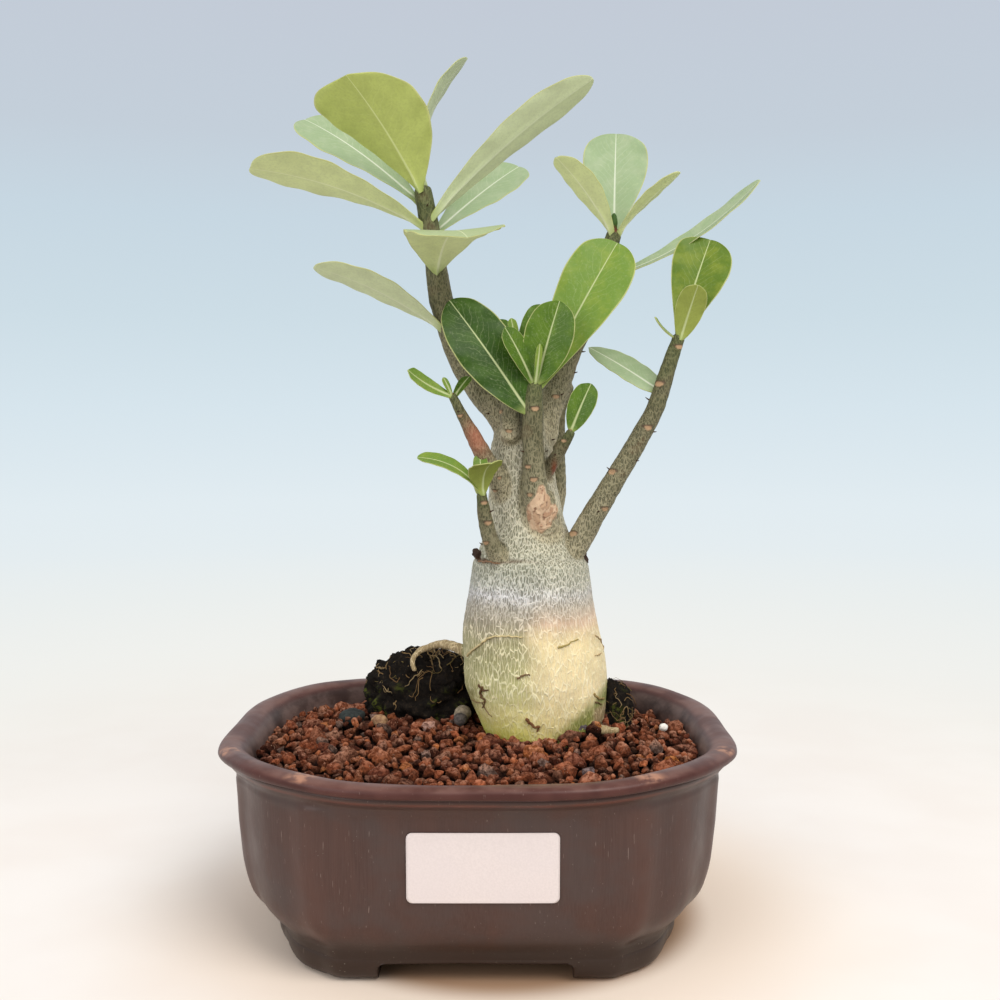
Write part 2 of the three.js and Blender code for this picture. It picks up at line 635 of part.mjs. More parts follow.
function crumbs() {
  const random = randomSource(7);
  const inside = within(SOIL_HALF_LENGTH - CRUMB_SIZE / 2, SOIL_HALF_DEPTH - CRUMB_SIZE / 2);
  const made = [];
  const rowPitch = (CRUMB_PITCH * Math.sqrt(3)) / 2;
  for (let row = -10; row <= 10; row++)
    for (let column = -11; column <= 11; column++) {
      const x = (column + (row % 2 ? 0.5 : 0) + 0.5 * (random() - 0.5)) * CRUMB_PITCH;
      const y = (row + 0.5 * (random() - 0.5)) * rowPitch;
      if (inside(x, y)) made.push(crumb(x + POT_X, y + POT_Y, random));
    }
  return wasm.Manifold.union(made);
}

function soil(cutters) {
  const brim = [SOIL_HALF_LENGTH, SOIL_HALF_DEPTH];
  const square = RIM_ROLL[6][3];
  const inside = potLoft(cavity([...brim, SOIL_EDGE_Z, square], [...brim, POT_HEIGHT, square]));
  let solid = soilBase().add(crumbs()).intersect(inside);
  for (const cutter of cutters) solid = solid.subtract(cutter);
  return largestBody(solid);
}

// ---- Peat and pebbles ----
const PEAT_THREADS = [
  [[-28, 30, 56, 0.9], [-25, 27.5, 57.5, 0.8], [-22.5, 28, 60.6, 0.7], [-24.5, 31, 63.6, 0.6]],
  [[-13.4, 29, 61, 0.9], [-11, 27.6, 58.6, 0.8], [-12, 26.6, 55.2, 0.7], [-15, 25.8, 53, 0.6]],
  [[-33, 35.4, 56, 0.9], [-30, 32.5, 62, 0.8], [-26, 33.4, 64.6, 0.7]],
];

function peatLeft(extra = 0) {
  let solid = lump(PEAT_LEFT, 3, 0.2, 11, extra).add(lump(PEAT_SHOULDER, 1, 0.16, 13, extra));
  for (const thread of PEAT_THREADS) solid = solid.add(limb(thread, 5, extra));
  return solid;
}

const peatRight = (extra = 0) => lump(PEAT_RIGHT, 2, 0.2, 12, extra);

// ---- Assembly ----
const plant = new THREE.Group();
const stemSolid = stem();
const stemClear = stem(GAP);
plant.add(meshOf("trunk", stemSolid, 0x9a9a80, 0.75));

for (const [name, solid] of clearLeaves(stemClear))
  plant.add(meshOf(name, solid, 0x5f8f3a, 0.45));

const leftPeat = largestBody(peatLeft().subtract(stemClear));
const rightPeat = largestBody(peatRight().subtract(stemClear));
plant.add(meshOf("peat_clump_left", leftPeat, 0x1e1c18, 0.95));
plant.add(meshOf("peat_clump_right", rightPeat, 0x1e1c18, 0.95));

const taken = [stemClear, peatLeft(GAP), peatRight(GAP)];
Object.entries(PEBBLES).forEach(([name, [centre, radii, color]], i) => {
  const place = [centre, radii];
  let solid = lump(place, 1, 0.1, 20 + i);
  for (const cutter of taken.slice(0, 3)) solid = solid.subtract(cutter);
  plant.add(meshOf(name, largestBody(solid), color, 0.8));
  taken.push(lump(place, 1, 0.1, 20 + i, GAP));
});

for (const side of [-1, 1]) {
  plant.add(meshOf(side < 0 ? "drain_mesh_left" : "drain_mesh_right", drainMesh(side), 0x222222, 0.6));
  const pocket = [MESH_SIDE + 2 * GAP, MESH_SIDE + 2 * GAP, 2 * (MESH_THICKNESS + 2 * GAP)];
  taken.push(box(...pocket, meshPlace(side)));
}
plant.add(meshOf("soil", soil(taken), 0x7a4a35, 0.95));
plant.add(meshOf("glazed_pot", potBody(), 0x4a3936, 0.4));
plant.add(meshOf("plant_label", plantLabel(), 0xf3e6e2, 0.6));

// The part's origin is the middle of its box on the surface it stands on.
const extent = new THREE.Box3().setFromObject(plant);
plant.position.set(-(extent.min.x + extent.max.x) / 2, -(extent.min.y + extent.max.y) / 2, -extent.min.z);
const part = new THREE.Group().add(plant);

export default part;
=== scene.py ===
import math

import bmesh
import bpy
import numpy as np
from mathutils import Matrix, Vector, noise
from mathutils.bvhtree import BVHTree


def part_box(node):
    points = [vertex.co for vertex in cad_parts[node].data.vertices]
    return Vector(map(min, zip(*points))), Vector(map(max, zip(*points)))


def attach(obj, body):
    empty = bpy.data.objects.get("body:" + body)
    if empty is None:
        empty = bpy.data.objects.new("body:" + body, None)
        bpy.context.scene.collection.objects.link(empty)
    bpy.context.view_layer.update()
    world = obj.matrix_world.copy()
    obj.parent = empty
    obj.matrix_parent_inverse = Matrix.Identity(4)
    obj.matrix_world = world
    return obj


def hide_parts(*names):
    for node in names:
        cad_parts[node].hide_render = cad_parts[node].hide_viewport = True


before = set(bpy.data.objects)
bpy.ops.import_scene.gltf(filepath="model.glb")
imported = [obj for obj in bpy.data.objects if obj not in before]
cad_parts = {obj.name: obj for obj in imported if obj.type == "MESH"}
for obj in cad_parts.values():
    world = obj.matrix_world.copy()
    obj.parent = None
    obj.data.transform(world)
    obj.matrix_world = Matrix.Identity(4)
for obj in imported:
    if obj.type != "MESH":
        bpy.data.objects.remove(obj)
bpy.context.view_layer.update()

# A desert rose in a glazed pot. The lists below are in millimetres, in the frame of the part's own
# source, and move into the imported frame, in metres, by SHIFT.
POT_X, POT_Y = 0.4, 2.0
FOOT_DROP = 2.8
pot_low, pot_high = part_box("glazed_pot")
SHIFT = np.array([(pot_low.x + pot_high.x) * 500 - POT_X, (pot_low.y + pot_high.y) * 500 - POT_Y, FOOT_DROP])
RNG = np.random.default_rng(634)


def metres(points):
    return (np.asarray(points, float) + SHIFT) / 1000


def linked(name, data):
    """A new object, in the scene."""
    made = bpy.data.objects.new(name, data)
    bpy.context.scene.collection.objects.link(made)
    return made


# ---- Camera ----
CAMERA = np.array([6.6, -346.0, 140.0])
PITCH = math.radians(3.7)
FOCAL_PIXELS = 1200.0
PHOTO_PIXELS = 1000
SENSOR = 36


def place_camera():
    data = bpy.data.cameras.new("camera")
    data.sensor_width = SENSOR
    data.lens = SENSOR * FOCAL_PIXELS / PHOTO_PIXELS
    data.clip_start = 0.01
    camera = linked("camera", data)
    camera.location = metres(CAMERA)
    camera.rotation_euler = (math.pi / 2 - PITCH, 0, 0)
    bpy.context.scene.camera = camera


def sight(px, py):
    """The direction of the line of sight through a pixel of the photograph."""
    s, c = math.sin(PITCH), math.cos(PITCH)
    across, rise = (px - PHOTO_PIXELS / 2) / FOCAL_PIXELS, (PHOTO_PIXELS / 2 - py) / FOCAL_PIXELS
    return Vector((across, c + rise * s, rise * c - s)).normalized()


# ---- Meshes ----
def mesh_piece(name, vertices, faces, material, smooth=True, floats=None, colors=None):
    """A riding piece from vertices in list millimetres."""
    mesh = bpy.data.meshes.new(name)
    mesh.from_pydata(metres(vertices).tolist(), [], faces)
    for key, values in (floats or {}).items():
        mesh.attributes.new(key, "FLOAT", "POINT").data.foreach_set("value", np.asarray(values, np.float32))
    for key, values in (colors or {}).items():
        rgba = np.ones((len(vertices), 4), np.float32)
        rgba[:, :3] = values
        mesh.attributes.new(key, "FLOAT_COLOR", "POINT").data.foreach_set("color", rgba.ravel())
    mesh.validate()
    mesh.polygons.foreach_set("use_smooth", [smooth] * len(mesh.polygons))
    mesh.materials.append(material)
    return linked(name, mesh)


def finish_piece(piece, slot, *nodes):
    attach(piece, "root")
    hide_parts(*nodes)


def scratch(vertices, faces):
    """A helper object in list millimetres, for modifiers."""
    mesh = bpy.data.meshes.new("scratch")
    mesh.from_pydata(np.asarray(vertices).tolist(), [], faces)
    return linked("scratch", mesh)


def arrays(mesh):
    """A mesh's vertices, and its faces as tuples of their numbers."""
    vertices = np.empty(len(mesh.vertices) * 3, np.float32)
    mesh.vertices.foreach_get("co", vertices)
    return vertices.reshape(-1, 3).astype(float), [tuple(p.vertices) for p in mesh.polygons]


def with_modifiers(helper):
    """The helper's mesh with its modifiers applied; the helper is deleted."""
    graph = bpy.context.evaluated_depsgraph_get()
    mesh = bpy.data.meshes.new_from_object(helper.evaluated_get(graph))
    bpy.data.objects.remove(helper)
    return mesh


def vertex_normals(mesh):
    normals = np.empty(len(mesh.vertices) * 3, np.float32)
    mesh.vertices.foreach_get("normal", normals)
    return normals.reshape(-1, 3).astype(float)


def loft(rings, closed_ends=True):
    """A skin over rings of equally many points."""
    rings = np.asarray(rings, float)
    levels, count = rings.shape[:2]
    vertices = rings.reshape(-1, 3)
    i = np.arange(count)
    j = (i + 1) % count
    faces = [np.stack([r * count + i, r * count + j, (r + 1) * count + j, (r + 1) * count + i], 1)
             for r in range(levels - 1)]
    faces = [tuple(f) for f in np.concatenate(faces).tolist()]
    if closed_ends:
        hubs = [rings[0].mean(0), rings[-1].mean(0)]
        vertices = np.vstack([vertices, hubs])
        base, last = levels * count, (levels - 1) * count
        faces += [(base, int(b), int(a)) for a, b in zip(i, j)]
        faces += [(base + 1, int(last + a), int(last + b)) for a, b in zip(i, j)]
    return vertices, faces


def sheet_faces(rows, columns):
    """A closed sheet's faces: a front grid of vertices, a back one numbered after it, and the rim."""
    at = lambda i, j: i * columns + j
    faces, off = [], rows * columns
    for i in range(rows - 1):
        for j in range(columns - 1):
            quad = (at(i, j), at(i, j + 1), at(i + 1, j + 1), at(i + 1, j))
            faces += [quad, tuple(off + k for k in reversed(quad))]
    rim = ([at(0, j) for j in range(columns)] + [at(i, columns - 1) for i in range(1, rows)]
           + [at(rows - 1, j) for j in range(columns - 2, -1, -1)]
           + [at(i, 0) for i in range(rows - 2, 0, -1)])
    return faces + [(a, off + a, off + b, b) for a, b in zip(rim, rim[1:] + rim[:1])]


def joined(parts):
    """Several (vertices, faces) as one."""
    vertices, faces, start = [], [], 0
    for points, polygons in parts:
        vertices.append(np.asarray(points, float))
        faces += [tuple(int(v) + start for v in f) for f in polygons]
        start += len(points)
    return np.vstack(vertices), faces


def spline(points, steps, closed=False, axes=3):
    """A centripetal Catmull-Rom curve; its first columns set the pace and the others follow."""
    p = np.asarray(points, float)
    count = len(p)
    if closed:
        p = np.vstack([p[-1], p, p[0], p[1]])
    else:
        p = np.vstack([2 * p[0] - p[1], p, 2 * p[-1] - p[-2]])
    t = np.linspace(0, 1, steps, endpoint=False)[:, None]
    rows = []
    for k in range(count if closed else count - 1):
        a, b, c, d = p[k:k + 4]
        t0, t1, t2 = [max(np.linalg.norm((v - w)[:axes]), 1e-9) ** 0.5 for v, w in ((b, a), (c, b), (d, c))]
        m = ((b - a) / t0 - (c - a) / (t0 + t1) + (c - b) / t1) * t1
        n = ((c - b) / t1 - (d - b) / (t1 + t2) + (d - c) / t2) * t1
        rows.append((2 * b - 2 * c + m + n) * t ** 3 + (3 * c - 3 * b - 2 * m - n) * t ** 2 + m * t + b)
    if not closed:
        rows.append(p[-2:-1])
    return np.vstack(rows)


def smoothstep(low, high, x):
    t = np.clip((np.asarray(x, float) - low) / (high - low), 0, 1)
    return t * t * (3 - 2 * t)


def bell(x):
    """1 at 0, falling to almost nothing at 2."""
    return np.exp(-x ** 2)


def field(points, scale, seed, octaves=1):
    """Smooth noise of -1 to 1 at each point, with the given grain in millimetres."""
    q = np.asarray(points, float) / scale + seed
    if octaves == 1:
        return np.array([noise.noise(v) for v in q])
    return np.array([noise.fractal(v, 1.0, 2.0, octaves) for v in q])


CAP_SHARES = (0.98, 0.8, 0.45)


def tube(points, sides, steps, ripple=0.0, ripple_grain=2.0):
    """A round stem through rows of [x, y, z, radius], with rounded ends."""
    path = spline(points, steps)
    centre, radius = path[:, :3], path[:, 3]
    tangent = np.gradient(centre, axis=0)
    tangent /= np.linalg.norm(tangent, axis=1)[:, None]
    across = np.array([0.0, -1.0, 0.0]) if abs(tangent[0, 1]) < 0.95 else np.array([1.0, 0.0, 0.0])
    angle = np.linspace(0, 2 * math.pi, sides, endpoint=False)

    def ring(middle, along, size):
        nonlocal across
        across = across - along * across.dot(along)
        across /= np.linalg.norm(across)
        other = np.cross(along, across)
        return middle + size * (np.cos(angle)[:, None] * across + np.sin(angle)[:, None] * other)

    def cap(end, way, shares):
        return [ring(centre[end] + way * tangent[end] * radius[end] * 0.6 * share, tangent[end],
                     radius[end] * math.sqrt(1 - share ** 2)) for share in shares]

    rings = cap(0, -1, CAP_SHARES)
    rings += [ring(*row) for row in zip(centre, tangent, radius)]
    rings = np.array(rings + cap(-1, 1, CAP_SHARES[::-1]))
    if ripple:
        middle = rings.mean(1, keepdims=True)
        wave = field(rings.reshape(-1, 3), ripple_grain, 3.1).reshape(rings.shape[:2] + (1,))
        rings = middle + (rings - middle) * (1 + ripple * wave)
    return loft(rings)


def ico(subdivisions):
    mesh = bpy.data.meshes.new("ico")
    bm = bmesh.new()
    bmesh.ops.create_icosphere(bm, subdivisions=subdivisions, radius=1)
    bm.to_mesh(mesh)
    bm.free()
    return arrays(mesh)


def blob(centre, radii, subdivisions, dent, grain, seed, octaves=3):
    """An ellipsoid dented by fractal noise."""
    vertices, faces = ico(subdivisions)
    wave = field(vertices * np.mean(radii), grain, seed, octaves)
    return np.asarray(centre) + vertices * np.asarray(radii) * (1 + dent * wave)[:, None], faces


# ---- Node materials ----
def rgb(r, g, b):
    """A colour given on the scale of 0 to 255, as linear light."""
    return tuple(((c / 255 + 0.055) / 1.055) ** 2.4 if c > 10 else c / 255 / 12.92 for c in (r, g, b))


class Shade:
    """A material's node tree, with one call for each kind of node."""

    def __init__(self, name, roughness, specular=0.5):
        self.material = bpy.data.materials.new(name)
        self.material.use_nodes = True
        self.tree = self.material.node_tree
        self.surface = self.tree.nodes["Principled BSDF"]
        self.set(Roughness=roughness, Specular_IOR_Level=specular)

    def node(self, kind, inputs, **settings):
        made = self.tree.nodes.new("ShaderNode" + kind)
        for key, value in settings.items():
            setattr(made, key, value)
        for key, value in inputs.items():
            socket = made.inputs[key]
            if isinstance(value, bpy.types.NodeSocket):
                self.tree.links.new(value, socket)
            else:
                socket.default_value = value
        return made

    def scaled(self, size):
        """Object coordinates in millimetres over size, which is one number or one for each axis."""
        scale = tuple(1000 / v for v in (size if isinstance(size, tuple) else (size,) * 3))
        place = self.node("TexCoord", {}).outputs["Object"]
        return self.node("Mapping", {"Vector": place, "Scale": scale}).outputs[0]

    def attribute(self, name, kind="Fac"):
        return self.node("Attribute", {}, attribute_name=name).outputs[kind]

    def noise(self, size, detail=2.0, rough=0.5, output="Fac"):
        inputs = {"Vector": self.scaled(size), "Scale": 1.0, "Detail": detail, "Roughness": rough}
        return self.node("TexNoise", inputs).outputs[output]

    def cells(self, vector, feature="F1"):
        return self.node("TexVoronoi", {"Vector": vector, "Scale": 1.0}, feature=feature).outputs["Distance"]

    def net(self, size, sway):
        """The distance to the lines of a net whose meshes have the given size, bent at the size sway."""
        bend = self.noise(sway, 2.0, output="Color")
        bent = self.node("VectorMath", {0: self.scaled(size), 1: bend}, operation="ADD").outputs[0]
        return self.cells(bent, "DISTANCE_TO_EDGE")

    def math(self, operation, a, b=0.0):
        return self.node("Math", {0: a, 1: b}, operation=operation).outputs[0]

    def times(self, a, b):
        return self.math("MULTIPLY", a, b)

    def span(self, value, low, high, to_low=0.0, to_high=1.0):
        made = self.node("MapRange", {"Value": value, "From Min": low, "From Max": high,
                                      "To Min": to_low, "To Max": to_high}, interpolation_type="SMOOTHSTEP")
        return made.outputs[0]

    def mix(self, share, a, b, blend="MIX"):
        a, b = [c if isinstance(c, bpy.types.NodeSocket) else tuple(c) + (1,) for c in (a, b)]
        made = self.node("Mix", {0: share, 6: a, 7: b}, data_type="RGBA", blend_type=blend)
        return made.outputs[2]

    def ramp(self, value, stops):
        made = self.node("ValToRGB", {0: value})
        points = made.color_ramp.elements
        while len(points) < len(stops):
            points.new(0.5)
        for point, (at, color) in zip(points, stops):
            point.position = at
            point.color = tuple(color) + (1,)
        return made.outputs[0]

    def bump(self, height, millimetres, strength, normal=None):
        inputs = {"Height": height, "Distance": millimetres / 1000, "Strength": strength}
        if normal:
            inputs["Normal"] = normal
        return self.node("Bump", inputs).outputs[0]

    def mix_shader(self, share, other):
        """Puts a mix of the surface and another shader out."""
        both = self.node("MixShader", {0: share, 1: self.surface.outputs[0], 2: other.outputs[0]})
        self.tree.links.new(both.outputs[0], self.tree.nodes["Material Output"].inputs["Surface"])

    def set(self, **links):
        for key, value in links.items():
            socket = self.surface.inputs[key.replace("_", " ")]
            if isinstance(value, bpy.types.NodeSocket):
                self.tree.links.new(value, socket)
            else:
                socket.default_value = value
        return self.material


def glaze_material():
    """Satin brown glaze: faint upright streaks, lighter and more orange where it runs thin over edges and
    corners. Painted shade darkens the foot and the band under the lip, a painted sheen runs down the upright
    corners, and a painted highlight lies along the rim's crest.
    """
    s = Shade("brown_glaze", 0.36, 0.24)
    streak = s.noise((0.32, 0.32, 24), 4.0, 0.65)
    band = s.noise((5, 5, 45), 2.0, 0.5)
    cloud = s.noise((9, 9, 14), 3.0, 0.55)
    base = s.mix(s.span(streak, 0.3, 0.72), rgb(68, 48, 42), rgb(75, 55, 49))
    base = s.mix(s.span(band, 0.4, 0.65, 0, 0.3), base, rgb(82, 54, 45))
    haze = s.noise((22, 22, 16), 3.0, 0.6)
    base = s.mix(s.span(haze, 0.42, 0.62, 0, 0.5), base, rgb(70, 60, 57))
    # the upright corners are lighter and redder: thinner glaze there, and a painted sheen down each corner
    crease = s.times(s.attribute("crease"), s.span(cloud, 0.3, 0.6, 0.15, 0.4))
    base = s.mix(crease, base, rgb(90, 60, 50))
    # painted shade: the glaze is darkened towards the bottom of the pot, over the lower wall and the feet
    base = s.mix(s.times(s.attribute("foot"), 0.8), base, rgb(42, 31, 24))
    # painted shade: the band just under the lip's overhang is darkened
    base = s.mix(s.times(s.attribute("under_lip_shade"), 0.55), base, rgb(58, 36, 30))
    step = s.times(s.attribute("step"), s.span(cloud, 0.3, 0.6, 0.15, 0.5))
    base = s.mix(step, base, rgb(112, 60, 46))
    lip = s.mix(s.span(cloud, 0.35, 0.65), rgb(64, 32, 27), rgb(78, 44, 38))
    base = s.mix(s.attribute("lip"), base, lip)
    # the rim's crest is paler: thinner glaze over it, and a painted highlight along the lit top
    crest = s.mix(s.span(s.noise((12, 12, 4), 3.0, 0.5), 0.38, 0.62), rgb(86, 52, 45), rgb(128, 94, 84))
    base = s.mix(s.attribute("crest"), base, crest)
    wash = s.noise((11, 11, 7), 4.0, 0.6)
    inner = s.mix(s.span(wash, 0.32, 0.66), rgb(58, 42, 38), rgb(104, 84, 78))
    base = s.mix(s.attribute("inner"), base, inner)
    speck = s.cells(s.scaled(1.5))
    few = s.noise(7, 1.0)
    spot = s.times(s.span(speck, 0.1, 0.03), s.span(few, 0.5, 0.6))
    base = s.mix(s.times(spot, s.span(s.attribute("foot"), 0, 1, 0.25, 0.6)), base, rgb(176, 164, 150))
    nick = s.span(s.noise((0.3, 0.3, 4), 1.0), 0.74, 0.79, 0, 0.35)
    base = s.mix(nick, base, rgb(160, 140, 128))
    edge = s.times(s.attribute("thin"), s.span(s.noise((3, 3, 1.5), 3.0), 0.36, 0.6))
    base = s.mix(edge, base, rgb(166, 120, 96))
    grain = s.noise((0.5, 0.5, 1.6), 2.0)
    dimple = s.bump(s.noise((7, 7, 9), 2.0), 0.4, 0.35)
    return s.set(Base_Color=base, Roughness=s.span(cloud, 0.3, 0.7, 0.32, 0.44),
                 Normal=s.bump(grain, 0.04, 0.4, dimple))


def bark_material():
    """Living skin: a net of thin pale lines over a greyer ground, fine above and coarser near the soil."""
    s = Shade("stem_skin", 0.6, 0.25)
    fine = s.span(s.net((0.72, 0.72, 2.2), 2.6), 0.19, 0.03)
    lines = s.span(s.net((1.25, 1.25, 4.6), 5), 0.11, 0.02)
    patch = s.noise((4, 4, 6), 3.0, 0.6)
    lines = s.times(lines, s.span(patch, 0.3, 0.6, 0.5, 1.0))
    small = s.span(s.noise((0.4, 0.4, 1.5), 3.0, 0.6), 0.44, 0.62)
    branch = s.attribute("branch")
    upper = s.times(fine, s.span(branch, 0, 1, 0.9, 0.7))
    upper = s.math("MAXIMUM", upper, s.times(small, s.span(branch, 0, 1, 0.7, 0.75)))
    lower = s.math("MAXIMUM", lines, s.times(small, 0.4))
    ridge = s.node("Mix", {0: s.attribute("lower"), 2: upper, 3: lower}).outputs[0]
    ridge = s.times(ridge, s.span(s.attribute("bare"), 0, 1, 1, 0.2))
    base = s.mix(s.span(ridge, 0, 1, 0.1, 1.0), s.attribute("low", "Color"), s.attribute("high", "Color"))
    grain = s.noise((0.25, 0.25, 0.4), 3.0, 0.6)
    base = s.mix(s.span(grain, 0.35, 0.7, 0.15, 0.0), base, rgb(120, 112, 84), "MULTIPLY")
    height = s.math("ADD", ridge, s.times(grain, 0.3))
    return s.set(Base_Color=base, Normal=s.bump(height, 0.2, 0.8), Subsurface_Weight=0.05,
                 Subsurface_Radius=(0.002, 0.0012, 0.0006))


def leaf_material(name, upper, lower, rib, patch, roughness, patchy, dust):
    """A leathery blade: pale midrib and hardly seen side veins, paler below, with a thin light margin."""
    s = Shade(name, roughness, 0.2)
    u, v, face = s.attribute("u"), s.attribute("v"), s.attribute("face")
    half, width = s.math("ABSOLUTE", v), s.attribute("half_width")
    away = s.times(half, width)
    cloud = s.noise(5, 3.0, 0.6)
    fine = s.noise(0.7, 3.0, 0.65)
    top = s.mix(s.span(cloud, 0.4, 0.68, 0, patchy), upper, patch)
    top = s.mix(s.span(fine, 0.5, 0.78, 0, dust), top, rgb(198, 208, 162))
    below = s.mix(s.span(cloud, 0.35, 0.7, 0, 0.5), lower, tuple(0.78 * c for c in lower))
    below = s.mix(s.span(fine, 0.42, 0.7, 0, 0.35), below, tuple(0.7 * c for c in lower))
    base = s.mix(face, below, top)
    reach = s.times(s.math("SUBTRACT", 1.3, u), 0.36)
    slant = s.math("SUBTRACT", s.times(u, 15.0), s.times(half, 4.2))
    slant = s.math("ADD", slant, s.times(s.noise(6), 2.4))
    comb = s.math("ABSOLUTE", s.math("SUBTRACT", s.math("FRACT", slant), 0.5))
    vein = s.times(s.span(comb, 0.07, 0.0), s.span(half, 0.85, 0.3))
    base = s.mix(s.times(vein, s.span(face, 0, 1, 0.16, 0.2)), base, rib)
    middle = s.span(away, s.times(reach, 1.35), s.times(reach, 0.35))
    base = s.mix(s.times(middle, s.span(face, 0, 1, 0.8, 0.9)), base, rib)
    base = s.mix(s.span(half, 0.95, 0.985, 0, 0.8), base, rgb(206, 206, 140))
    base = s.mix(s.span(u, 0.12, 0.0, 0, 0.8), base, rgb(172, 186, 106))
    s.mix_shader(0.3, s.node("BsdfTranslucent", {"Color": base}))
    ridge = s.math("ADD", s.times(vein, -0.15), s.times(fine, 0.2))
    return s.set(Base_Color=base, Normal=s.bump(ridge, 0.2, 0.4))


def soil_material():
    """Crumbled fired clay: each grain has its own tint, paler on top with dust and painted highlight, with
    painted shade in its hollows and down between the others.
    """
    s = Shade("red_clay_crumb", 0.95, 0.1)
    coarse = s.noise(1.2, 4.0, 0.7)
    fine = s.noise(0.35, 3.0, 0.7)
    # painted shade: each grain is darkened where the coarse noise of its bump lies low
    hollow_painted_shade = s.span(coarse, 0.38, 0.62, 0.75, 0.0)
    base = s.mix(hollow_painted_shade, s.attribute("tint", "Color"), rgb(112, 84, 70), "MULTIPLY")
    base = s.mix(s.span(fine, 0.54, 0.72, 0, 0.35), base, rgb(180, 124, 92))
    # the grains' tops are paler: dust, and a painted highlight where light falls on them
    dust = s.times(s.attribute("dusty_lit_crown"), s.span(coarse, 0.42, 0.58, 0.05, 0.7))
    base = s.mix(dust, base, rgb(204, 150, 122))
    grit = s.times(s.span(s.cells(s.scaled(0.6)), 0.2, 0.06), s.span(s.noise(3), 0.54, 0.62))
    base = s.mix(s.times(grit, 0.8), base, rgb(240, 212, 184))
    # painted shade: grains and the bed lying low under the crumbs' tops are darkened almost to black
    base = s.mix(s.span(s.attribute("proud"), 0, 1, 0.94, 0.0), base, rgb(26, 14, 10))
    height = s.math("ADD", coarse, s.times(fine, 0.6))
    return s.set(Base_Color=base, Normal=s.bump(height, 0.9, 1.0))


def peat_material():
    """Black fibrous peat, mossy at its edges, with dry roots over it."""
    s = Shade("black_peat", 0.95, 0.15)
    coarse = s.noise(1.6, 5.0, 0.7)
    hair = s.noise((0.25, 0.25, 2.2), 3.0, 0.6)
    base = s.ramp(coarse, [(0.3, rgb(12, 10, 8)), (0.55, rgb(26, 21, 17)), (0.75, rgb(52, 42, 31))])
    base = s.mix(s.span(hair, 0.6, 0.74, 0, 0.5), base, rgb(96, 80, 58))
    moss = s.times(s.attribute("moss"), s.span(s.noise(1.2, 3.0), 0.42, 0.62, 0, 0.8))
    base = s.mix(moss, base, rgb(84, 90, 32))
    fibre = s.mix(s.noise(2), s.attribute("tint", "Color"), rgb(112, 86, 56))
    base = s.mix(s.attribute("fibre"), base, fibre)
    return s.set(Base_Color=base, Normal=s.bump(s.math("ADD", coarse, s.times(hair, 0.5)), 0.8, 0.9))


def stone_material(name, light, dark):
    s = Shade(name, 0.8)
    cloud = s.noise(1.4, 4.0, 0.6)
    fine = s.noise(0.3, 2.0)
    base = s.mix(s.span(cloud, 0.35, 0.65), dark, light)
    return s.set(Base_Color=base, Normal=s.bump(s.math("ADD", cloud, s.times(fine, 0.4)), 0.3, 0.7))


def label_material():
    s = Shade("label_paper", 0.5, 0.3)
    fibre = s.noise((0.5, 2, 0.5), 3.0)
    cloud = s.noise(12, 2.0)
    base = s.mix(s.span(fibre, 0.3, 0.7), rgb(208, 196, 192), rgb(214, 202, 198))
    base = s.mix(s.span(cloud, 0.4, 0.7, 0, 0.3), base, rgb(208, 197, 195))
    base = s.mix(s.span(s.attribute("edge"), 0.5, 0.1, 0, 0.3), base, rgb(188, 174, 168))
    return s.set(Base_Color=base, Normal=s.bump(fibre, 0.02, 0.3))


def net_material():
    s = Shade("drain_net", 0.6)
    dust = s.noise(2, 3.0)
    return s.set(Base_Color=s.mix(s.span(dust, 0.4, 0.7), rgb(24, 24, 24), rgb(62, 50, 42)),
                 Normal=s.bump(dust, 0.2, 0.4))


# ---- The pot ----
RIM_HALF = (72.5, 64.3)
RIM_QUARTER = [(72.5, 0), (71.9, 21), (69.2, 31.4), (58.3, 48.3), (44.6, 58.2), (31.5, 62.8), (0, 64.3)]
POT_CORNERS = [(44.6, 58.2), (69.2, 31.4)]
# The pot's skin from the middle of its underside, up the wall, over the lip and down inside, as
# [half length, half depth, z, squareness].
UNDERSIDE = [(4, 3.8, 2.6, 0.085), (30, 28, 2.6, 0.085), (47, 46, 2.6, 0.085), (50.6, 49.4, 2.7, 0.085),
             (52.8, 51.5, 3.1, 0.085), (53.6, 52.3, 4, 0.085)]
OUTER_WALL = [(53.9, 52.6, 5, 0.085), (54.5, 53.0, 6.4, 0.08), (56, 53.9, 7.8, 0.072),
              (58.5, 55.3, 9.6, 0.062), (61.2, 56.9, 13, 0.056), (63.6, 57.9, 19.5, 0.046),
              (65, 58.5, 30, 0.042), (66.1, 58.8, 39, 0.033), (66.5, 59.0, 42.4, 0.03),
              (66.9, 59.4, 43.6, 0.024), (67.3, 59.8, 44.9, 0.014)]
RIM_ROLL = [(68.6, 61, 46, 0.004), (69.6, 61.9, 46.9, 0), (69.9, 62.2, 47.7, 0), (69.9, 62.1, 48.2, 0),
            (70.7, 62.8, 48.35, 0), (71.9, 63.8, 48.8, 0), (72.4, 64.2, 49.8, 0), (72.0, 63.9, 50.9, 0),
            (70.6, 62.7, 51.65, 0), (68.4, 60.7, 51.8, 0), (66, 58.6, 51.1, 0), (64.2, 57, 49.2, 0)]
INNER_WALL = [(62.4, 55.2, 45, 0.01), (61.4, 54.2, 41, 0.02), (60, 52.8, 25, 0.035), (57, 50.4, 14, 0.045),
              (50, 45, 8.6, 0.05), (44, 40, 7.6, 0.05), (4, 3.6, 7.6, 0.05)]
FEET = [(47, 45, -2.75, 0.15), (48.2, 46, -2.8, 0.15), (50.2, 48.2, -2.2, 0.135), (51.9, 50.4, -0.7, 0.115),
        (53.2, 51.8, 1.6, 0.098), (53.7, 52.3, 3.4, 0.09), (53.6, 52.3, 4.6, 0.085)]
RING = 336
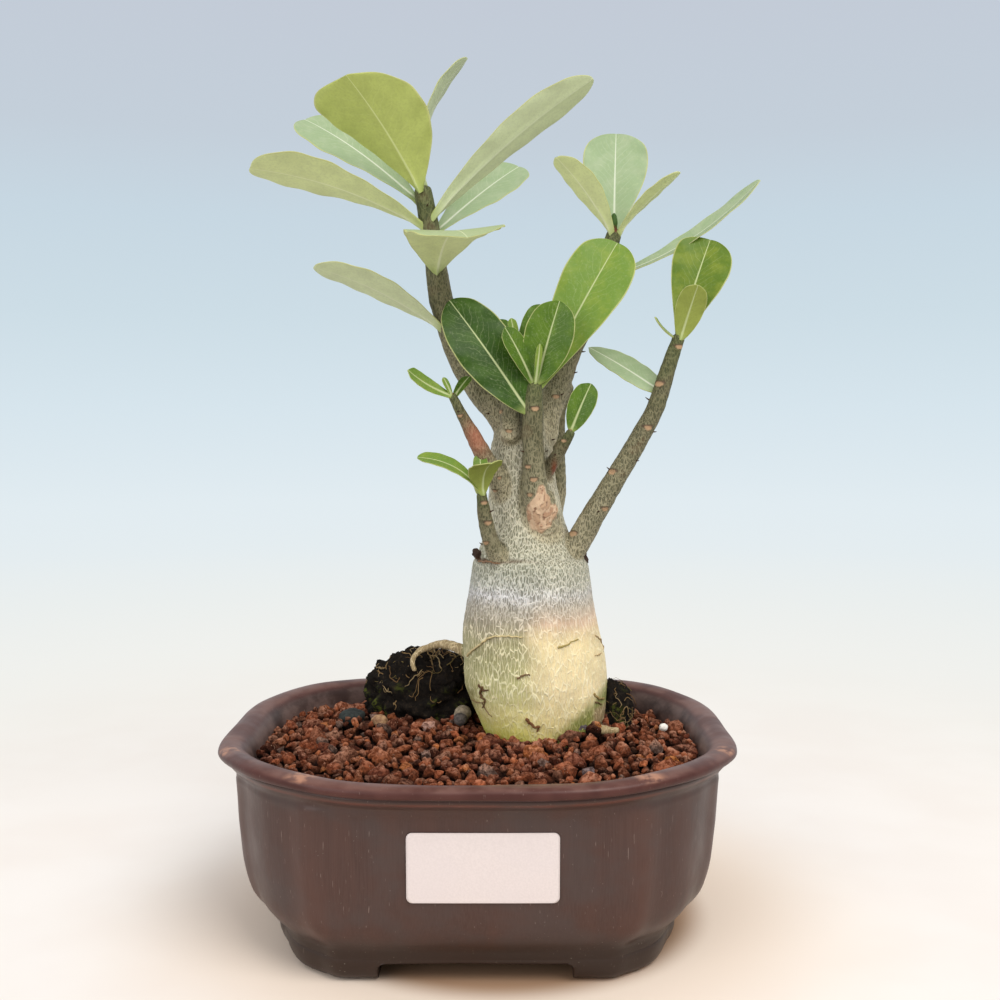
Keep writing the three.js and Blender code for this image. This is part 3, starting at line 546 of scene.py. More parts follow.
# The rim's lift at its corners, the level where it starts and the height over which it grows.
CORNER_RISE, RISE_START, RISE_HEIGHT = 1.3, 42, 8
# The gaps between the feet: half widths in front and at the sides, their top and its rounding.
NOTCH_HALF = (25, 22)
NOTCH_TOP, NOTCH_ROUND = 2.9, 2.0
FAR = 80  # past the pot on every side
DRAIN_X, DRAIN_RADIUS, DRAIN_SIDES = 25, 6, 48


def rim_outline(count):
    """The rim's plan, evenly spaced, as shares of its half length and half depth."""
    quarter = np.array(RIM_QUARTER, float)
    inner = quarter[1:-1]
    closed = np.vstack([quarter, (inner * [-1, 1])[::-1], quarter * [-1, -1], (inner * [1, -1])[::-1]])
    dense = spline(closed, 80, True, 2)
    dense = np.vstack([dense, dense[:1]])
    run = np.r_[0, np.cumsum(np.linalg.norm(np.diff(dense, axis=0), axis=1))]
    at = np.linspace(0, run[-1], count, endpoint=False)
    return np.stack([np.interp(at, run, dense[:, 0]), np.interp(at, run, dense[:, 1])], 1) / RIM_HALF


PLAN = rim_outline(RING)


def corner_nearness(plan):
    """1 at the pot's eight upright corners, falling to 0 a few millimetres away."""
    points = np.abs(plan * RIM_HALF)
    return sum(np.exp(-np.sum((points - corner) ** 2, 1) / 5.0 ** 2) for corner in np.array(POT_CORNERS))


CORNER = corner_nearness(PLAN)


def by_turn(values, a, b):
    """The plan's values in the directions (a, b) from the pot's middle."""
    turn = np.arctan2(PLAN[:, 1], PLAN[:, 0])
    order = np.argsort(turn)
    return np.interp(np.arctan2(b, a), turn[order], values[order], period=2 * math.pi)


def rim_share(x, y, half_length, half_depth):
    """How far out a point lies in the pot: 1 on the wall."""
    a, b = (x - POT_X) / half_length, (y - POT_Y) / half_depth
    return np.hypot(a, b) / by_turn(np.hypot(*PLAN.T), a, b)


def corner_rise(a, b, z):
    return CORNER_RISE * np.sin(2 * np.arctan2(b, a)) ** 4 * np.clip((z - RISE_START) / RISE_HEIGHT, 0, 1)


def pot_ring(half_length, half_depth, z, square, plan=PLAN, corner=CORNER):
    a, b = plan.T
    wall = min(square / 0.04, 1)
    push = 1 + square * np.sin(2 * np.arctan2(b, a)) ** 4 + wall * (0.024 * corner - 0.006)
    rise = corner_rise(a, b, z)
    return np.stack([a * half_length * push + POT_X, b * half_depth * push + POT_Y, z + rise], 1)


def pot_profile(levels, steps):
    """A smooth run of levels; length and height set its pace."""
    rows = spline(np.array(levels, float)[:, [0, 2, 1, 3]], steps, axes=2)
    return rows[:, [0, 2, 1, 3]]


def pot_skin(levels, steps):
    return np.array([pot_ring(*level) for level in pot_profile(levels, steps)])


def notch(half_length, half_depth):
    """A box with rounded edges, to cut a gap between two feet."""
    low = np.array([POT_X - half_length, POT_Y - half_depth, -12.0])
    high = np.array([POT_X + half_length, POT_Y + half_depth, NOTCH_TOP])
    corners = np.array([[x, y, z] for x in (0, 1) for y in (0, 1) for z in (0, 1)])
    faces = [(0, 1, 3, 2), (4, 6, 7, 5), (0, 4, 5, 1), (2, 3, 7, 6), (0, 2, 6, 4), (1, 5, 7, 3)]
    helper = scratch(low + corners * (high - low), faces)
    m = helper.modifiers.new("bevel", "BEVEL")
    m.width, m.segments = NOTCH_ROUND, 5
    return helper


def cut(target, tool, operation):
    m = target.modifiers.new("cut", "BOOLEAN")
    m.object, m.operation, m.solver = tool, operation, "EXACT"
    mesh = with_modifiers(target)
    bpy.data.objects.remove(tool)
    return linked("scratch", mesh)


def pot_feet():
    """Four bracket feet: a ring under the base with a rounded notch cut through each side."""
    rings = [pot_ring(6, 5.6, -2.75, 0.15), *pot_skin(FEET, 3), pot_ring(6, 5.6, 4.7, 0.085)]
    feet = scratch(*loft(rings))
    inside = scratch(*loft([pot_ring(38, 36, -6, 0.07), pot_ring(38.6, 36.6, 7, 0.07)]))
    feet = cut(feet, inside, "DIFFERENCE")
    feet = cut(feet, notch(FAR, NOTCH_HALF[1]), "DIFFERENCE")
    return cut(feet, notch(NOTCH_HALF[0], FAR), "DIFFERENCE")


def drain_hole(side):
    angle = np.linspace(0, 2 * math.pi, DRAIN_SIDES, endpoint=False)
    circle = np.stack([side * DRAIN_X + POT_X + DRAIN_RADIUS * np.cos(angle),
                       POT_Y + DRAIN_RADIUS * np.sin(angle), np.zeros(DRAIN_SIDES)], 1)
    return scratch(*loft([circle + (0, 0, -5), circle + (0, 0, 12)]))


def build_pot():
    shell = scratch(*loft(pot_skin(UNDERSIDE + OUTER_WALL + RIM_ROLL + INNER_WALL, 4)))
    shell = cut(shell, pot_feet(), "UNION")
    for side in (-1, 1):
        shell = cut(shell, drain_hole(side), "DIFFERENCE")
    vertices, faces = arrays(shell.data)
    normals = vertex_normals(shell.data)
    bpy.data.objects.remove(shell)
    x, y, z = vertices.T
    uneven = 0.22 * field(vertices, 26, 5.0) + 0.06 * field(vertices, 7, 9.0)
    uneven *= smoothstep(-2.6, 1, z) * np.where(np.abs(normals[:, 2]) > 0.98, 0, 1)
    vertices = vertices + normals * (uneven - 0.1)[:, None]
    a, b = (x - POT_X) / RIM_HALF[0], (y - POT_Y) / RIM_HALF[1]
    corner = by_turn(CORNER, a, b)
    outward = rim_share(x, y, *RIM_HALF)
    facing = normals[:, 0] * (x - POT_X) + normals[:, 1] * (y - POT_Y)
    outside = (facing > 0) & (outward > 0.7)
    level = z - corner_rise(a, b, z)
    # the rim's top: paler in the glaze, partly as a painted highlight, and where its corners break orange
    crest = smoothstep(50.2, 51.4, level) * (outward > 0.89)
    floats = {
        "crease": corner * smoothstep(6, 12, z) * smoothstep(46, 42, z) * outside,
        # foot: 1 at the bottom, fading out by 12 mm; it carries the painted shade low on the pot and spreads
        # the specks
        "foot": smoothstep(12, 5, z),
        "lip": smoothstep(48.2, 48.7, level) * (outward > 0.87),
        "crest": 0.55 * crest,
        # the band under the lip, where painted shade darkens the glaze
        "under_lip_shade": smoothstep(47.2, 47.8, level) * smoothstep(48.8, 48.2, level) * outside,
        "step": smoothstep(0.7, 0.1, np.abs(level - 46.7)) * outside,
        "inner": smoothstep(0.905, 0.885, outward) * smoothstep(52.6, 51, z) * (z > 7.5) * (facing <= 0),
        "thin": np.clip(crest * smoothstep(0.45, 0.9, corner) * (outward > 0.93) * (y < 10)
                        + smoothstep(0.35, 0, np.abs(z + 2.5)) * (x > 5), 0, 1),
    }
    piece = mesh_piece("pot", vertices, faces, glaze_material(), floats=floats)
    finish_piece(piece, "brown_glaze", "glazed_pot")


# ---- The label ----
LABEL_X, LABEL_Z = 2.4, 30.2
LABEL_HALF = (19.0, 9.0)
LABEL_CORNER = 1.5
LABEL_FRONT, LABEL_BACK = 0.34, 0.12  # how far each face stands off the wall


def wall_front(x, z):
    """How far forward the front wall stands at each x and z."""
    profile = pot_profile(OUTER_WALL, 8)
    order = np.argsort(profile[:, 2])
    level = [np.interp(z, profile[order, 2], profile[order, k]) for k in (0, 1, 3)]
    ring = pot_ring(level[0], level[1], z, level[2])
    front = ring[ring[:, 1] < 0]
    front = front[np.argsort(front[:, 0])]
    return np.interp(x, front[:, 0], front[:, 1])


def build_label():
    (w, h), r = LABEL_HALF, LABEL_CORNER
    turns = np.linspace(0, math.pi / 2, 7)
    straight = np.linspace(-h + r, h - r, 11)[1:-1]
    rows = np.r_[-h + r * (1 - np.cos(turns)), straight, h - r + r * np.sin(turns)]
    across = np.linspace(-1, 1, 49)
    front, back, edge = [], [], []
    for row in rows:
        over = max(abs(row) - (h - r), 0)
        half = w - r + math.sqrt(max(r * r - over * over, 0))
        x = LABEL_X + across * half
        z = np.full(len(x), LABEL_Z + row)
        y = wall_front(x, LABEL_Z + row)
        front.append(np.stack([x, y - LABEL_FRONT, z], 1))
        back.append(np.stack([x, y - LABEL_BACK, z], 1))
        edge.append(np.minimum(half * (1 - np.abs(across)), h - abs(row)))
    piece = mesh_piece("label_blank", np.vstack(front + back), sheet_faces(len(rows), len(across)),
                       label_material(), floats={"edge": np.tile(np.concatenate(edge), 2)})
    finish_piece(piece, "label_paper", "plant_label")


# ---- The stem ----
# The swollen stem's levels: z, the middle's x and y, half width and half depth. The branches and the
# roots are rows of x, y, z and radius.
CAUDEX = [(17, 18, 19, 5, 5), (20, 18, 19, 9.5, 9), (30, 18.8, 19, 13.5, 13), (43.5, 20, 19, 17.4, 17),
          (48, 19.8, 19, 18.8, 18), (54.5, 18.7, 19, 20.6, 19.4), (61, 17.7, 19, 21.6, 20),
          (68, 17.2, 19, 21.3, 19.7), (76, 16.1, 19, 20.7, 18.9), (85, 15.9, 19, 19.1, 17.7),
          (92, 16, 18.8, 18.1, 16.8), (97.3, 15.9, 18.6, 17.2, 15.8), (99.4, 15.8, 18.5, 16.1, 14.8),
          (104, 15, 18.3, 13.7, 13), (110, 14.5, 18, 11.5, 11.4), (117, 13.9, 18, 10.6, 10.6),
          (125, 13.4, 18, 9.5, 9.6), (133, 13.4, 18, 9.1, 8.8), (141, 13.3, 18, 7.6, 7.4),
          (146, 13.2, 18, 4.6, 4.6)]
BRANCHES = {
    "left": [(9.3, 17.8, 138.9, 5), (6.6, 17, 143.1, 4.6), (2.7, 17, 147.0, 4.2), (-1.6, 18, 152.5, 3.9),
             (-5.5, 18, 159.4, 3.7), (-8.5, 19, 167.5, 3.6), (-11.4, 19, 178, 3.6), (-13.4, 20, 192, 3.1),
             (-16.6, 20, 209.5, 2.7)],
    "middle": [(19.1, 19, 135.3, 4.8), (21.2, 20, 143.2, 4.3), (24.2, 22, 151.7, 4.1),
               (27.6, 24, 161.5, 3.9), (32.2, 26, 171.5, 3.9), (36, 27, 181, 3.3), (41.7, 28, 197.5, 2.4)],
    "front": [(19.6, 11, 108.5, 4.6), (17.2, 6.6, 118, 4), (16.3, 5, 131, 3.2), (16.2, 4, 142.5, 3),
              (16.6, 4, 150.5, 2.3)],
    "inner": [(10.2, 10, 137.4, 3.3), (9.9, 8.2, 142, 3.3), (10.8, 7.8, 151, 2.8), (11.6, 8, 160, 2.1)],
    "back": [(21.5, 23, 109, 3.6), (24.4, 27, 118, 2.7), (24.4, 27, 131.5, 2.4), (24.6, 24.5, 145, 2.6),
             (26.4, 23, 151, 3)],
    "side": [(8, 12.5, 119.5, 3.4), (2.4, 8, 129, 2.8), (-1, 6, 135.7, 2.3), (-4, 5, 141.3, 1.7),
             (-7.2, 4, 147.6, 1.3)],
    "low": [(7, 8.5, 97.5, 3), (3.8, 4.6, 105.5, 2.4), (2.2, 3, 112.2, 2.1), (1.3, 2, 119.4, 1.5)],
    "twig": [(18.5, 15, 122, 2.4), (22.2, 9.6, 128.2, 2), (24.8, 6.4, 132.8, 1.8), (27.2, 4.2, 137, 1.4)],
    "right": [(25, 16, 95.5, 4.2), (30, 14.4, 103.8, 3.9), (34.5, 13.2, 112, 3.6), (39, 12, 119.8, 3.3),
              (46, 11, 131.8, 3), (49.2, 11, 137.6, 2.8), (52.4, 11, 143.4, 2.7), (56.6, 12, 156.4, 2.3),
              (59.6, 12, 165, 1.9)],
}
ROOTS = [
    [(0.5, 20, 67.2, 1.6), (-6, 21.4, 70.2, 1.3), (-9.5, 23.6, 70.9, 1.15), (-12.6, 25.6, 70.7, 1),
     (-15.3, 27.2, 69.7, 0.85), (-19.2, 27.8, 67.9, 0.75), (-20.8, 26.6, 65.3, 0.65),
     (-20.2, 25.4, 62.7, 0.55)],
    [(31.5, 6.5, 50.5, 1.4), (37, 5, 48.9, 1.1), (41.5, 6.6, 48.2, 0.8)],
]
# Lumps on the stem: the middle and the half sizes of each. The third and the fourth are dead spurs.
STEM_LUMPS = [
    ((18.6, 8.4, 115), (4.6, 3.6, 6.4)), ((10, 9.6, 137), (3.3, 2.9, 3.2)),
    ((-0.4, 14, 100.2), (1.1, 1.1, 1.6)), ((32.2, 16.5, 99), (1.2, 1.1, 1.5)),
    ((18, 19, 135), (4.9, 5.6, 4.6)), ((41.7, 28, 200.4), (1.1, 1, 3.6)),
]
DEAD_SPURS = [centre for centre, _ in STEM_LUMPS[2:4]]
# Where the photograph shows the marks of shed leaves, as [px, py, half width in mm].
SCARS = [
    (679, 347, 1.1), (659, 384, 1.35), (648, 428, 1.2), (612, 472, 1.3), (605, 509, 1.1), (573, 534, 1.4),
    (535, 409, 1.1), (528, 467, 0.9), (534, 480, 1.0), (530, 495, 0.9), (501, 412, 0.9), (509, 431, 0.9),
    (460, 416, 0.7), (484, 503, 0.9), (488, 523, 1.0), (486, 543, 0.9), (485, 562, 1.1),
    (499, 478, 0.7), (495, 491, 0.9), (556, 397, 1.0), (571, 430, 0.7), (564, 441, 0.7),
    (606, 262, 0.7), (437, 243, 0.6), (449, 322, 0.6), (590, 330, 0.6),
]
# Dark points of dried stipules, as [px, py].
SPIKES = [
    (454, 298), (427, 206), (437, 233), (447, 308), (489, 414), (492, 430), (459, 412), (479, 462),
    (680, 331), (677, 375), (649, 400), (653, 432), (636, 461), (610, 470), (598, 512), (576, 520),
    (505, 398), (556, 455), (552, 440), (569, 425), (575, 432), (574, 373), (582, 352), (618, 262),
    (592, 330), (482, 490), (490, 512), (478, 520), (483, 545), (524, 452), (545, 452), (561, 395),
]
# Dry roots that cling to the skin: the pixels along each, its radius and colour.
DRY_ROOTS = [
    ([(469, 655), (474, 650), (482, 644), (490, 638), (506, 636), (523, 637)], 0.36, (222, 202, 150)),
    ([(558, 648), (566, 645), (577, 639)], 0.28, (176, 156, 92)),
    ([(594, 636), (599, 640), (602, 648), (598, 655), (594, 656)], 0.24, (188, 158, 112)),
    ([(518, 678), (524, 675), (530, 675)], 0.26, (128, 98, 66)),
    ([(480, 685), (485, 690), (489, 689)], 0.3, (104, 74, 50)),
    ([(483, 687), (482, 694), (486, 700), (484, 706)], 0.4, (112, 84, 54)),
    ([(484, 703), (489, 712), (493, 716)], 0.22, (150, 122, 80)),
    ([(473, 699), (480, 702), (487, 701)], 0.26, (160, 136, 92)),
    ([(527, 719), (531, 723), (534, 726), (539, 726), (537, 730)], 0.42, (126, 84, 50)),
    ([(593, 694), (598, 699), (603, 698), (608, 703)], 0.34, (168, 142, 88)),
    ([(594, 702), (600, 704), (606, 709)], 0.26, (120, 94, 60)),
    ([(472, 560), (480, 562), (490, 561), (500, 563)], 0.26, (150, 116, 86)),
]
# Reddish scales round the buds: place, size and colour.
BUD_SCALES = [
    ((16.6, 4, 150.6), 1.0, (112, 60, 40)), ((11.6, 8, 160.2), 0.9, (104, 54, 38)),
    ((41.7, 28, 197.8), 1.1, (108, 60, 36)), ((27.2, 4.2, 137), 0.7, (124, 72, 48)),
    ((59.6, 12, 165), 0.8, (120, 84, 50)), ((-7.2, 4, 147.6), 0.6, (134, 84, 56)),
]
# The skin's colours up the stem: height, then the grooves' and the ridges' colour on the left side,
# then the same two on the right.
SKIN = [
    (45, (214, 212, 78), (236, 232, 124), (214, 200, 104), (240, 226, 146)),
    (50, (236, 226, 122), (248, 240, 164), (232, 212, 134), (248, 234, 172)),
    (54, (226, 214, 138), (250, 240, 184), (236, 216, 154), (250, 236, 186)),
    (60, (190, 184, 120), (246, 238, 194), (242, 220, 168), (252, 238, 198)),
    (68, (156, 152, 100), (240, 232, 188), (242, 220, 168), (252, 238, 196)),
    (75, (148, 142, 98), (234, 224, 184), (234, 212, 160), (248, 232, 190)),
    (78.5, (142, 134, 104), (224, 212, 182), (220, 194, 150), (240, 222, 186)),
    (81, (132, 124, 101), (215, 203, 181), (208, 176, 146), (238, 218, 192)),
    (85.5, (126, 120, 103), (210, 202, 188), (154, 142, 122), (220, 209, 192)),
    (89, (134, 131, 121), (226, 224, 222), (144, 140, 128), (222, 218, 210)),
    (92, (112, 114, 98), (206, 204, 192), (124, 124, 106), (210, 206, 190)),
    (96, (106, 109, 88), (196, 194, 176), (114, 115, 94), (200, 196, 176)),
    (102, (116, 116, 93), (202, 197, 174), (120, 118, 95), (204, 198, 174)),
    (112, (122, 120, 96), (212, 205, 181), (124, 121, 96), (212, 204, 178)),
    (125, (122, 120, 96), (212, 205, 181), (120, 117, 92), (210, 202, 178)),
    (140, (106, 104, 80), (190, 181, 154), (106, 104, 80), (190, 181, 154)),
]
# The same on the branches, by how far along they lie.
BRANCH_SKIN = [
    (0.0, (111, 105, 79), (198, 187, 156)), (0.3, (82, 80, 57), (154, 146, 116)),
    (0.75, (66, 66, 42), (120, 114, 84)), (1.0, (62, 70, 36), (104, 107, 66)),
]
# The colours of the callus's flakes, by their step.
FLAKES = [(-2, (186, 146, 116)), (-1, (218, 186, 154)), (0, (202, 166, 134)), (1, (226, 200, 170))]
SKIN_VOXEL = 0.36


def caudex_skin():
    levels = spline(np.array(CAUDEX, float)[:, [3, 0, 1, 2, 4]], 8, axes=2)
    angle = np.linspace(0, 2 * math.pi, 120, endpoint=False)
    rings = []
    for width, z, x, y, depth in levels:
        low = max(0.0, 1 - abs(z - 58) / 40)
        lobe = 1 + 0.018 * low * np.sin(5 * angle)
        rings.append(np.stack([x + width * lobe * np.cos(angle), y + depth * lobe * np.sin(angle),
                               np.full(len(angle), z)], 1))
    return loft(rings)


def stem_parts():
    parts = [caudex_skin()]
    for points in BRANCHES.values():
        parts.append(tube(points, 26, 8, 0.05, 3.5))
    for points in ROOTS:
        parts.append(tube(points, 14, 8, 0.22, 1.6))
    for index, (centre, radii) in enumerate(STEM_LUMPS):
        parts.append(blob(centre, radii, 4, 0.16, 2.6, 4.0 + index))
    return parts


def remeshed(parts, voxel, rounds):
    helper = scratch(*joined(parts))
    m = helper.modifiers.new("remesh", "REMESH")
    m.mode, m.voxel_size, m.adaptivity = "VOXEL", voxel, 0.0
    m = helper.modifiers.new("smooth", "SMOOTH")
    m.factor, m.iterations = 0.5, rounds
    return with_modifiers(helper)


def ridge_net(points, wide, tall, seed):
    """1 on the lines of a wavy upright net and 0 inside its meshes."""
    warp = np.stack([field(points, 4.5, seed + k) for k in (1.7, 6.3, 11.9)], 1)
    q = (points + warp * 1.1) / (wide, wide, tall) + seed
    gap = np.empty(len(q))
    for k, v in enumerate(q):
        near = noise.voronoi(v)[0]
        gap[k] = near[1] - near[0]
    return 1 - smoothstep(0.04, 0.34, gap)


def hits(tree, pixels):
    """Where the lines of sight through the pixels meet the skin, and the skin's normals there."""
    found = []
    for px, py in pixels:
        place, normal, _, _ = tree.ray_cast(Vector(CAMERA), sight(px, py))
        found.append((None, None) if place is None else (np.array(place), np.array(normal)))
    return found


def on_skin(tree, pixels, lift):
    """Points a little off the skin where the lines of sight through the pixels meet it."""
    return [at + facing * lift for at, facing in hits(tree, pixels) if at is not None]


def stem_extras(tree):
    """Dry roots, dead stipules and bud scales on the skin: (vertices, faces, colour) each."""
    extras = []
    for pixels, radius, color in DRY_ROOTS:
        path = on_skin(tree, pixels, 0.7 * radius + 0.3)
        if len(path) > 1:
            dense = spline(np.array(path), 5)
            dense += 0.35 * radius * RNG.normal(size=dense.shape) * (1, 0.3, 1)
            rows = [(*v, radius * (1.15 - 0.6 * k / len(dense))) for k, v in enumerate(dense)]
            extras.append((*tube(rows, 8, 2, 0.35, 0.7), color))
    for at, facing in hits(tree, SPIKES):
        if at is not None:
            side = 1 if facing[0] > 0 else -1
            tip = at + facing * 0.9 + np.array([0.3 * side, 0, 0.5])
            rows = [(*(at - facing * 0.3), 0.3), (*(0.5 * (at + tip)), 0.2), (*tip, 0.07)]
            extras.append((*tube(rows, 6, 3), (74, 50, 36)))
    for (x, y, z), size, color in BUD_SCALES:
        for turn in np.arange(5) * 2.4:
            way = np.array([math.cos(turn), math.sin(turn), 0])
            base = np.array([x, y, z]) + way * 0.35 * size
            rows = [(*base, 0.3 * size), (*(base + way * 0.5 * size + (0, 0, 0.8 * size)), 0.28 * size),
                    (*(base + way * 0.35 * size + (0, 0, 1.7 * size)), 0.07 * size)]
            extras.append((*tube(rows, 7, 4), color))
    return extras


def table_color(at, rows, column):
    stops = [row[0] for row in rows]
    colors = np.array([rgb(*row[column]) for row in rows])
    return np.stack([np.interp(at, stops, colors[:, k]) for k in range(3)], 1)


def tone(color, share, target):
    return color + (np.asarray(target) - color) * np.clip(share, 0, 1)[:, None]


def stem_colors(p, on_branch, along):
    """The colours of the skin's grooves and of its ridges."""
    wobble = p[:, 2] + 1.3 * field(p, 9, 21.0) + 0.6 * field(p, 3, 27.0)
    right = smoothstep(-0.35, 0.25, (p[:, 0] - 17) / 20 + 0.25 * field(p, 8, 31.0))
    low = table_color(wobble, SKIN, 1)
    low += (table_color(wobble, SKIN, 3) - low) * right[:, None]
    high = table_color(wobble, SKIN, 2)
    high += (table_color(wobble, SKIN, 4) - high) * right[:, None]
    reach = np.clip(along + 0.12 * field(p, 6, 35.0), 0, 1)
    low = tone(low, on_branch, table_color(reach, BRANCH_SKIN, 1))
    high = tone(high, on_branch, table_color(reach, BRANCH_SKIN, 2))
    cloud = field(p, 7, 33.0, 3)
    low, high = low * (1 + 0.16 * cloud)[:, None], high * (1 + 0.08 * cloud)[:, None]
    rough = 1.2 * field(p, 2.2, 41.0)
    edge = 44.5 + 0.8 * np.clip(p[:, 0] - 18, 0, None)
    right_foot = smoothstep(2.5, -2.5, p[:, 2] + rough - edge) * smoothstep(19, 26, p[:, 0] + rough)
    # painted shadow: the peat's shadow on the caudex's lower left, dark olive
    left_foot_shade = smoothstep(64, 56, p[:, 2] + 2 * rough) * smoothstep(1.5, -2, p[:, 0] + rough)
    low = tone(low, 0.85 * right_foot, rgb(96, 112, 30))
    high = tone(high, 0.7 * right_foot, rgb(140, 148, 62))
    low = tone(low, 0.7 * left_foot_shade, rgb(104, 96, 30))
    high = tone(high, 0.5 * left_foot_shade, rgb(160, 150, 70))
    brown = smoothstep(0.25, 0.6, field(p, 5, 43.0)) * on_branch
    return tone(low, 0.35 * brown, rgb(112, 80, 56)), high


def branch_share(p):
    """How near each point is to a branch's surface, and how far along the branch it lies."""
    near = np.zeros(len(p))
    along = np.zeros(len(p))
    for points in BRANCHES.values():
        path = spline(points, 6)
        best = np.full(len(p), 1e9)
        place = np.zeros(len(p))
        for index, row in enumerate(path):
            gap = np.linalg.norm(p - row[:3], axis=1) / row[3]
            closer = gap < best
            best[closer], place[closer] = gap[closer], index / (len(path) - 1)
        share = smoothstep(1.6, 1.15, best)
        along = np.where(share > near, place, along)
        near = np.maximum(near, share)
    return near, along


def paint(tones, share, color):
    """Moves the grooves' and the ridges' colours towards one colour."""
    for which in tones:
        which[:] = tone(which, share, color)


def add_scars(tree, p, lift, tones, bare):
    """The raised marks of shed leaves, each a tan oval with a dark rim over it."""
    ragged = 0.22 * field(p, 0.9, 77.0)
    for (_, _, size), (at, facing) in zip(SCARS, hits(tree, [s[:2] for s in SCARS])):
        if at is None:
            continue
        away = p - at
        near = np.linalg.norm(away, axis=1) < 2.5 * size
        side = np.cross(facing, (0, 0, 1.0))
        side /= max(np.linalg.norm(side), 1e-6)
        up = np.cross(side, facing)
        a, b = away @ side / size, away @ up / (0.6 * size)
        oval = np.hypot(a, b - 0.3 * a * a) + ragged * near
        flat = smoothstep(1.1, 0.8, oval) * near
        rim = bell((oval - 1.1) / 0.3) * smoothstep(-0.3, 0.5, b) * near
        lift += (0.3 * smoothstep(1.7, 0.8, oval) - 0.16 * smoothstep(0.9, 0.3, oval)) * near
        paint(tones, 0.75 * flat, rgb(190, 152, 116))
        paint(tones, 0.8 * rim, rgb(74, 54, 38))
        np.maximum(bare, np.maximum(flat, rim), out=bare)


def add_callus(p, lift, tones, bare):
    """The healed cut on the front: tan flakes in steps, with dark cracks between them."""
    width = 2.4 + 2.8 * smoothstep(120.5, 112.5, p[:, 2])
    callus = np.hypot((p[:, 0] - 18.4) / width, (p[:, 2] - 114.8) / 7.0) + 0.3 * field(p, 2.6, 81.0)
    callus = smoothstep(1.0, 0.86, callus) * smoothstep(12.5, 9.5, p[:, 1])
    flake = field(p * (1, 1, 0.6), 2.3, 85.0, 2) * 2.2
    step = flake - np.floor(flake)
    paint(tones, 0.9 * callus, table_color(np.floor(flake), FLAKES, 1))
    paint(tones, callus * smoothstep(0.2, 0.0, step) * 0.85, rgb(116, 74, 52))
    lift += callus * 0.45 * step
    np.maximum(bare, callus, out=bare)


def add_marks(p, on_branch, groove, lift, tones, bare):
    """Red blushes, the bud's scales, the dead spurs, painted shade in the collar's groove and the dry skin
    of the roots.
    """
    front = p[:, 1] < 12
    blush = np.exp(-(((p[:, 0] + 0.3) / 4.2) ** 2 + ((p[:, 2] - 135) / 5.5) ** 2)) * on_branch * front
    streak = np.exp(-(((p[:, 0] - 22.6) / 0.8) ** 2 + ((p[:, 2] - 126.4) / 2.4) ** 2)) * front
    bud = smoothstep(2.4, 1.6, np.hypot(p[:, 0] - 41.7, p[:, 1] - 28)) * smoothstep(197.2, 198, p[:, 2])
    red = smoothstep(200.6, 198.8, p[:, 2] + 0.8 * field(p, 1.2, 95.0))
    stub = np.zeros(len(p))
    for centre in DEAD_SPURS:
        stub = np.maximum(stub, smoothstep(1.9, 1.4, np.linalg.norm((p - centre) / (1, 1, 1.15), axis=1)))
    lift += stub * 0.7 * field(p, 0.8, 91.0)
    roots = smoothstep(-4.4, -5.6, p[:, 0]) * smoothstep(88, 84, p[:, 2])
    roots = np.maximum(roots, smoothstep(33, 35, p[:, 0]) * smoothstep(56, 54, p[:, 2]))
    paint(tones, 0.7 * blush, rgb(176, 102, 78))
    paint(tones, 0.9 * streak, rgb(140, 66, 40))
    paint(tones, bud * (1 - red), rgb(62, 92, 36))
    paint(tones, bud * red, rgb(112, 52, 36))
    paint(tones, stub, rgb(56, 38, 28))
    # painted shade: the collar's groove is darkened, most on the left
    paint(tones, 0.85 * groove, rgb(92, 64, 44))
    paint(tones[:1], 0.9 * roots, rgb(150, 126, 90))
    paint(tones[1:], 0.9 * roots, rgb(212, 190, 150))
    bare += stub
    bare += bud


def build_stem():
    mesh = remeshed(stem_parts(), SKIN_VOXEL, 6)
    p, faces = arrays(mesh)
    tree = BVHTree.FromPolygons([tuple(v) for v in p], faces)
    on_branch, along = branch_share(p)
    on_branch *= smoothstep(98.4, 99.6, p[:, 2])
    body = 1 - on_branch
    below = smoothstep(88, 80, p[:, 2]) * body
    lift = 0.05 * ridge_net(p, 1.5, 4.2, 2.0) * below + (0.3 + 0.2 * field(p, 9, 61.0)) * body
    lift += 0.14 * field(p, 3.2, 67.0) + 0.08 * field(p, 1.3, 69.0)
    # the collar's groove, cut in and darkened with painted shade
    groove = bell((p[:, 2] - 99.0 - 0.7 * field(p, 6, 71.0)) / 0.6) * body
    groove *= smoothstep(20, 6, p[:, 0]) * 0.9 + 0.1
    lift -= 0.45 * groove
    tones = stem_colors(p, on_branch, along)
    bare = np.zeros(len(p))
    add_scars(tree, p, lift, tones, bare)
    add_callus(p, lift, tones, bare)
    add_marks(p, on_branch, groove, lift, tones, bare)
    parts = [(p + vertex_normals(mesh) * lift[:, None], faces)]
    low, high = tones
    floats = {"lower": below, "bare": np.clip(bare, 0, 1), "branch": on_branch}
    for vertices, polygons, color in stem_extras(tree):
        parts.append((vertices, polygons))
        count = len(vertices)
        low = np.vstack([low, np.tile(0.8 * np.array(rgb(*color)), (count, 1))])
        high = np.vstack([high, np.tile(rgb(*color), (count, 1))])
        for key in floats:
            floats[key] = np.r_[floats[key], np.full(count, 1.0 if key == "branch" else 0.0)]
    vertices, faces = joined(parts)
    colors = {"low": low, "high": high}
    piece = mesh_piece("stem", vertices, faces, bark_material(), floats=floats, colors=colors)
    finish_piece(piece, "bark", "trunk")


# ---- The leaves ----
BROAD, SPOON, LONG, OVAL = (1.2, 0.52), (1.25, 0.42), (1.05, 0.5), (0.85, 0.55)
BLUNT, ROUND, POINTED = (1.05, 0.36), (0.95, 0.42), (0.6, 0.8)
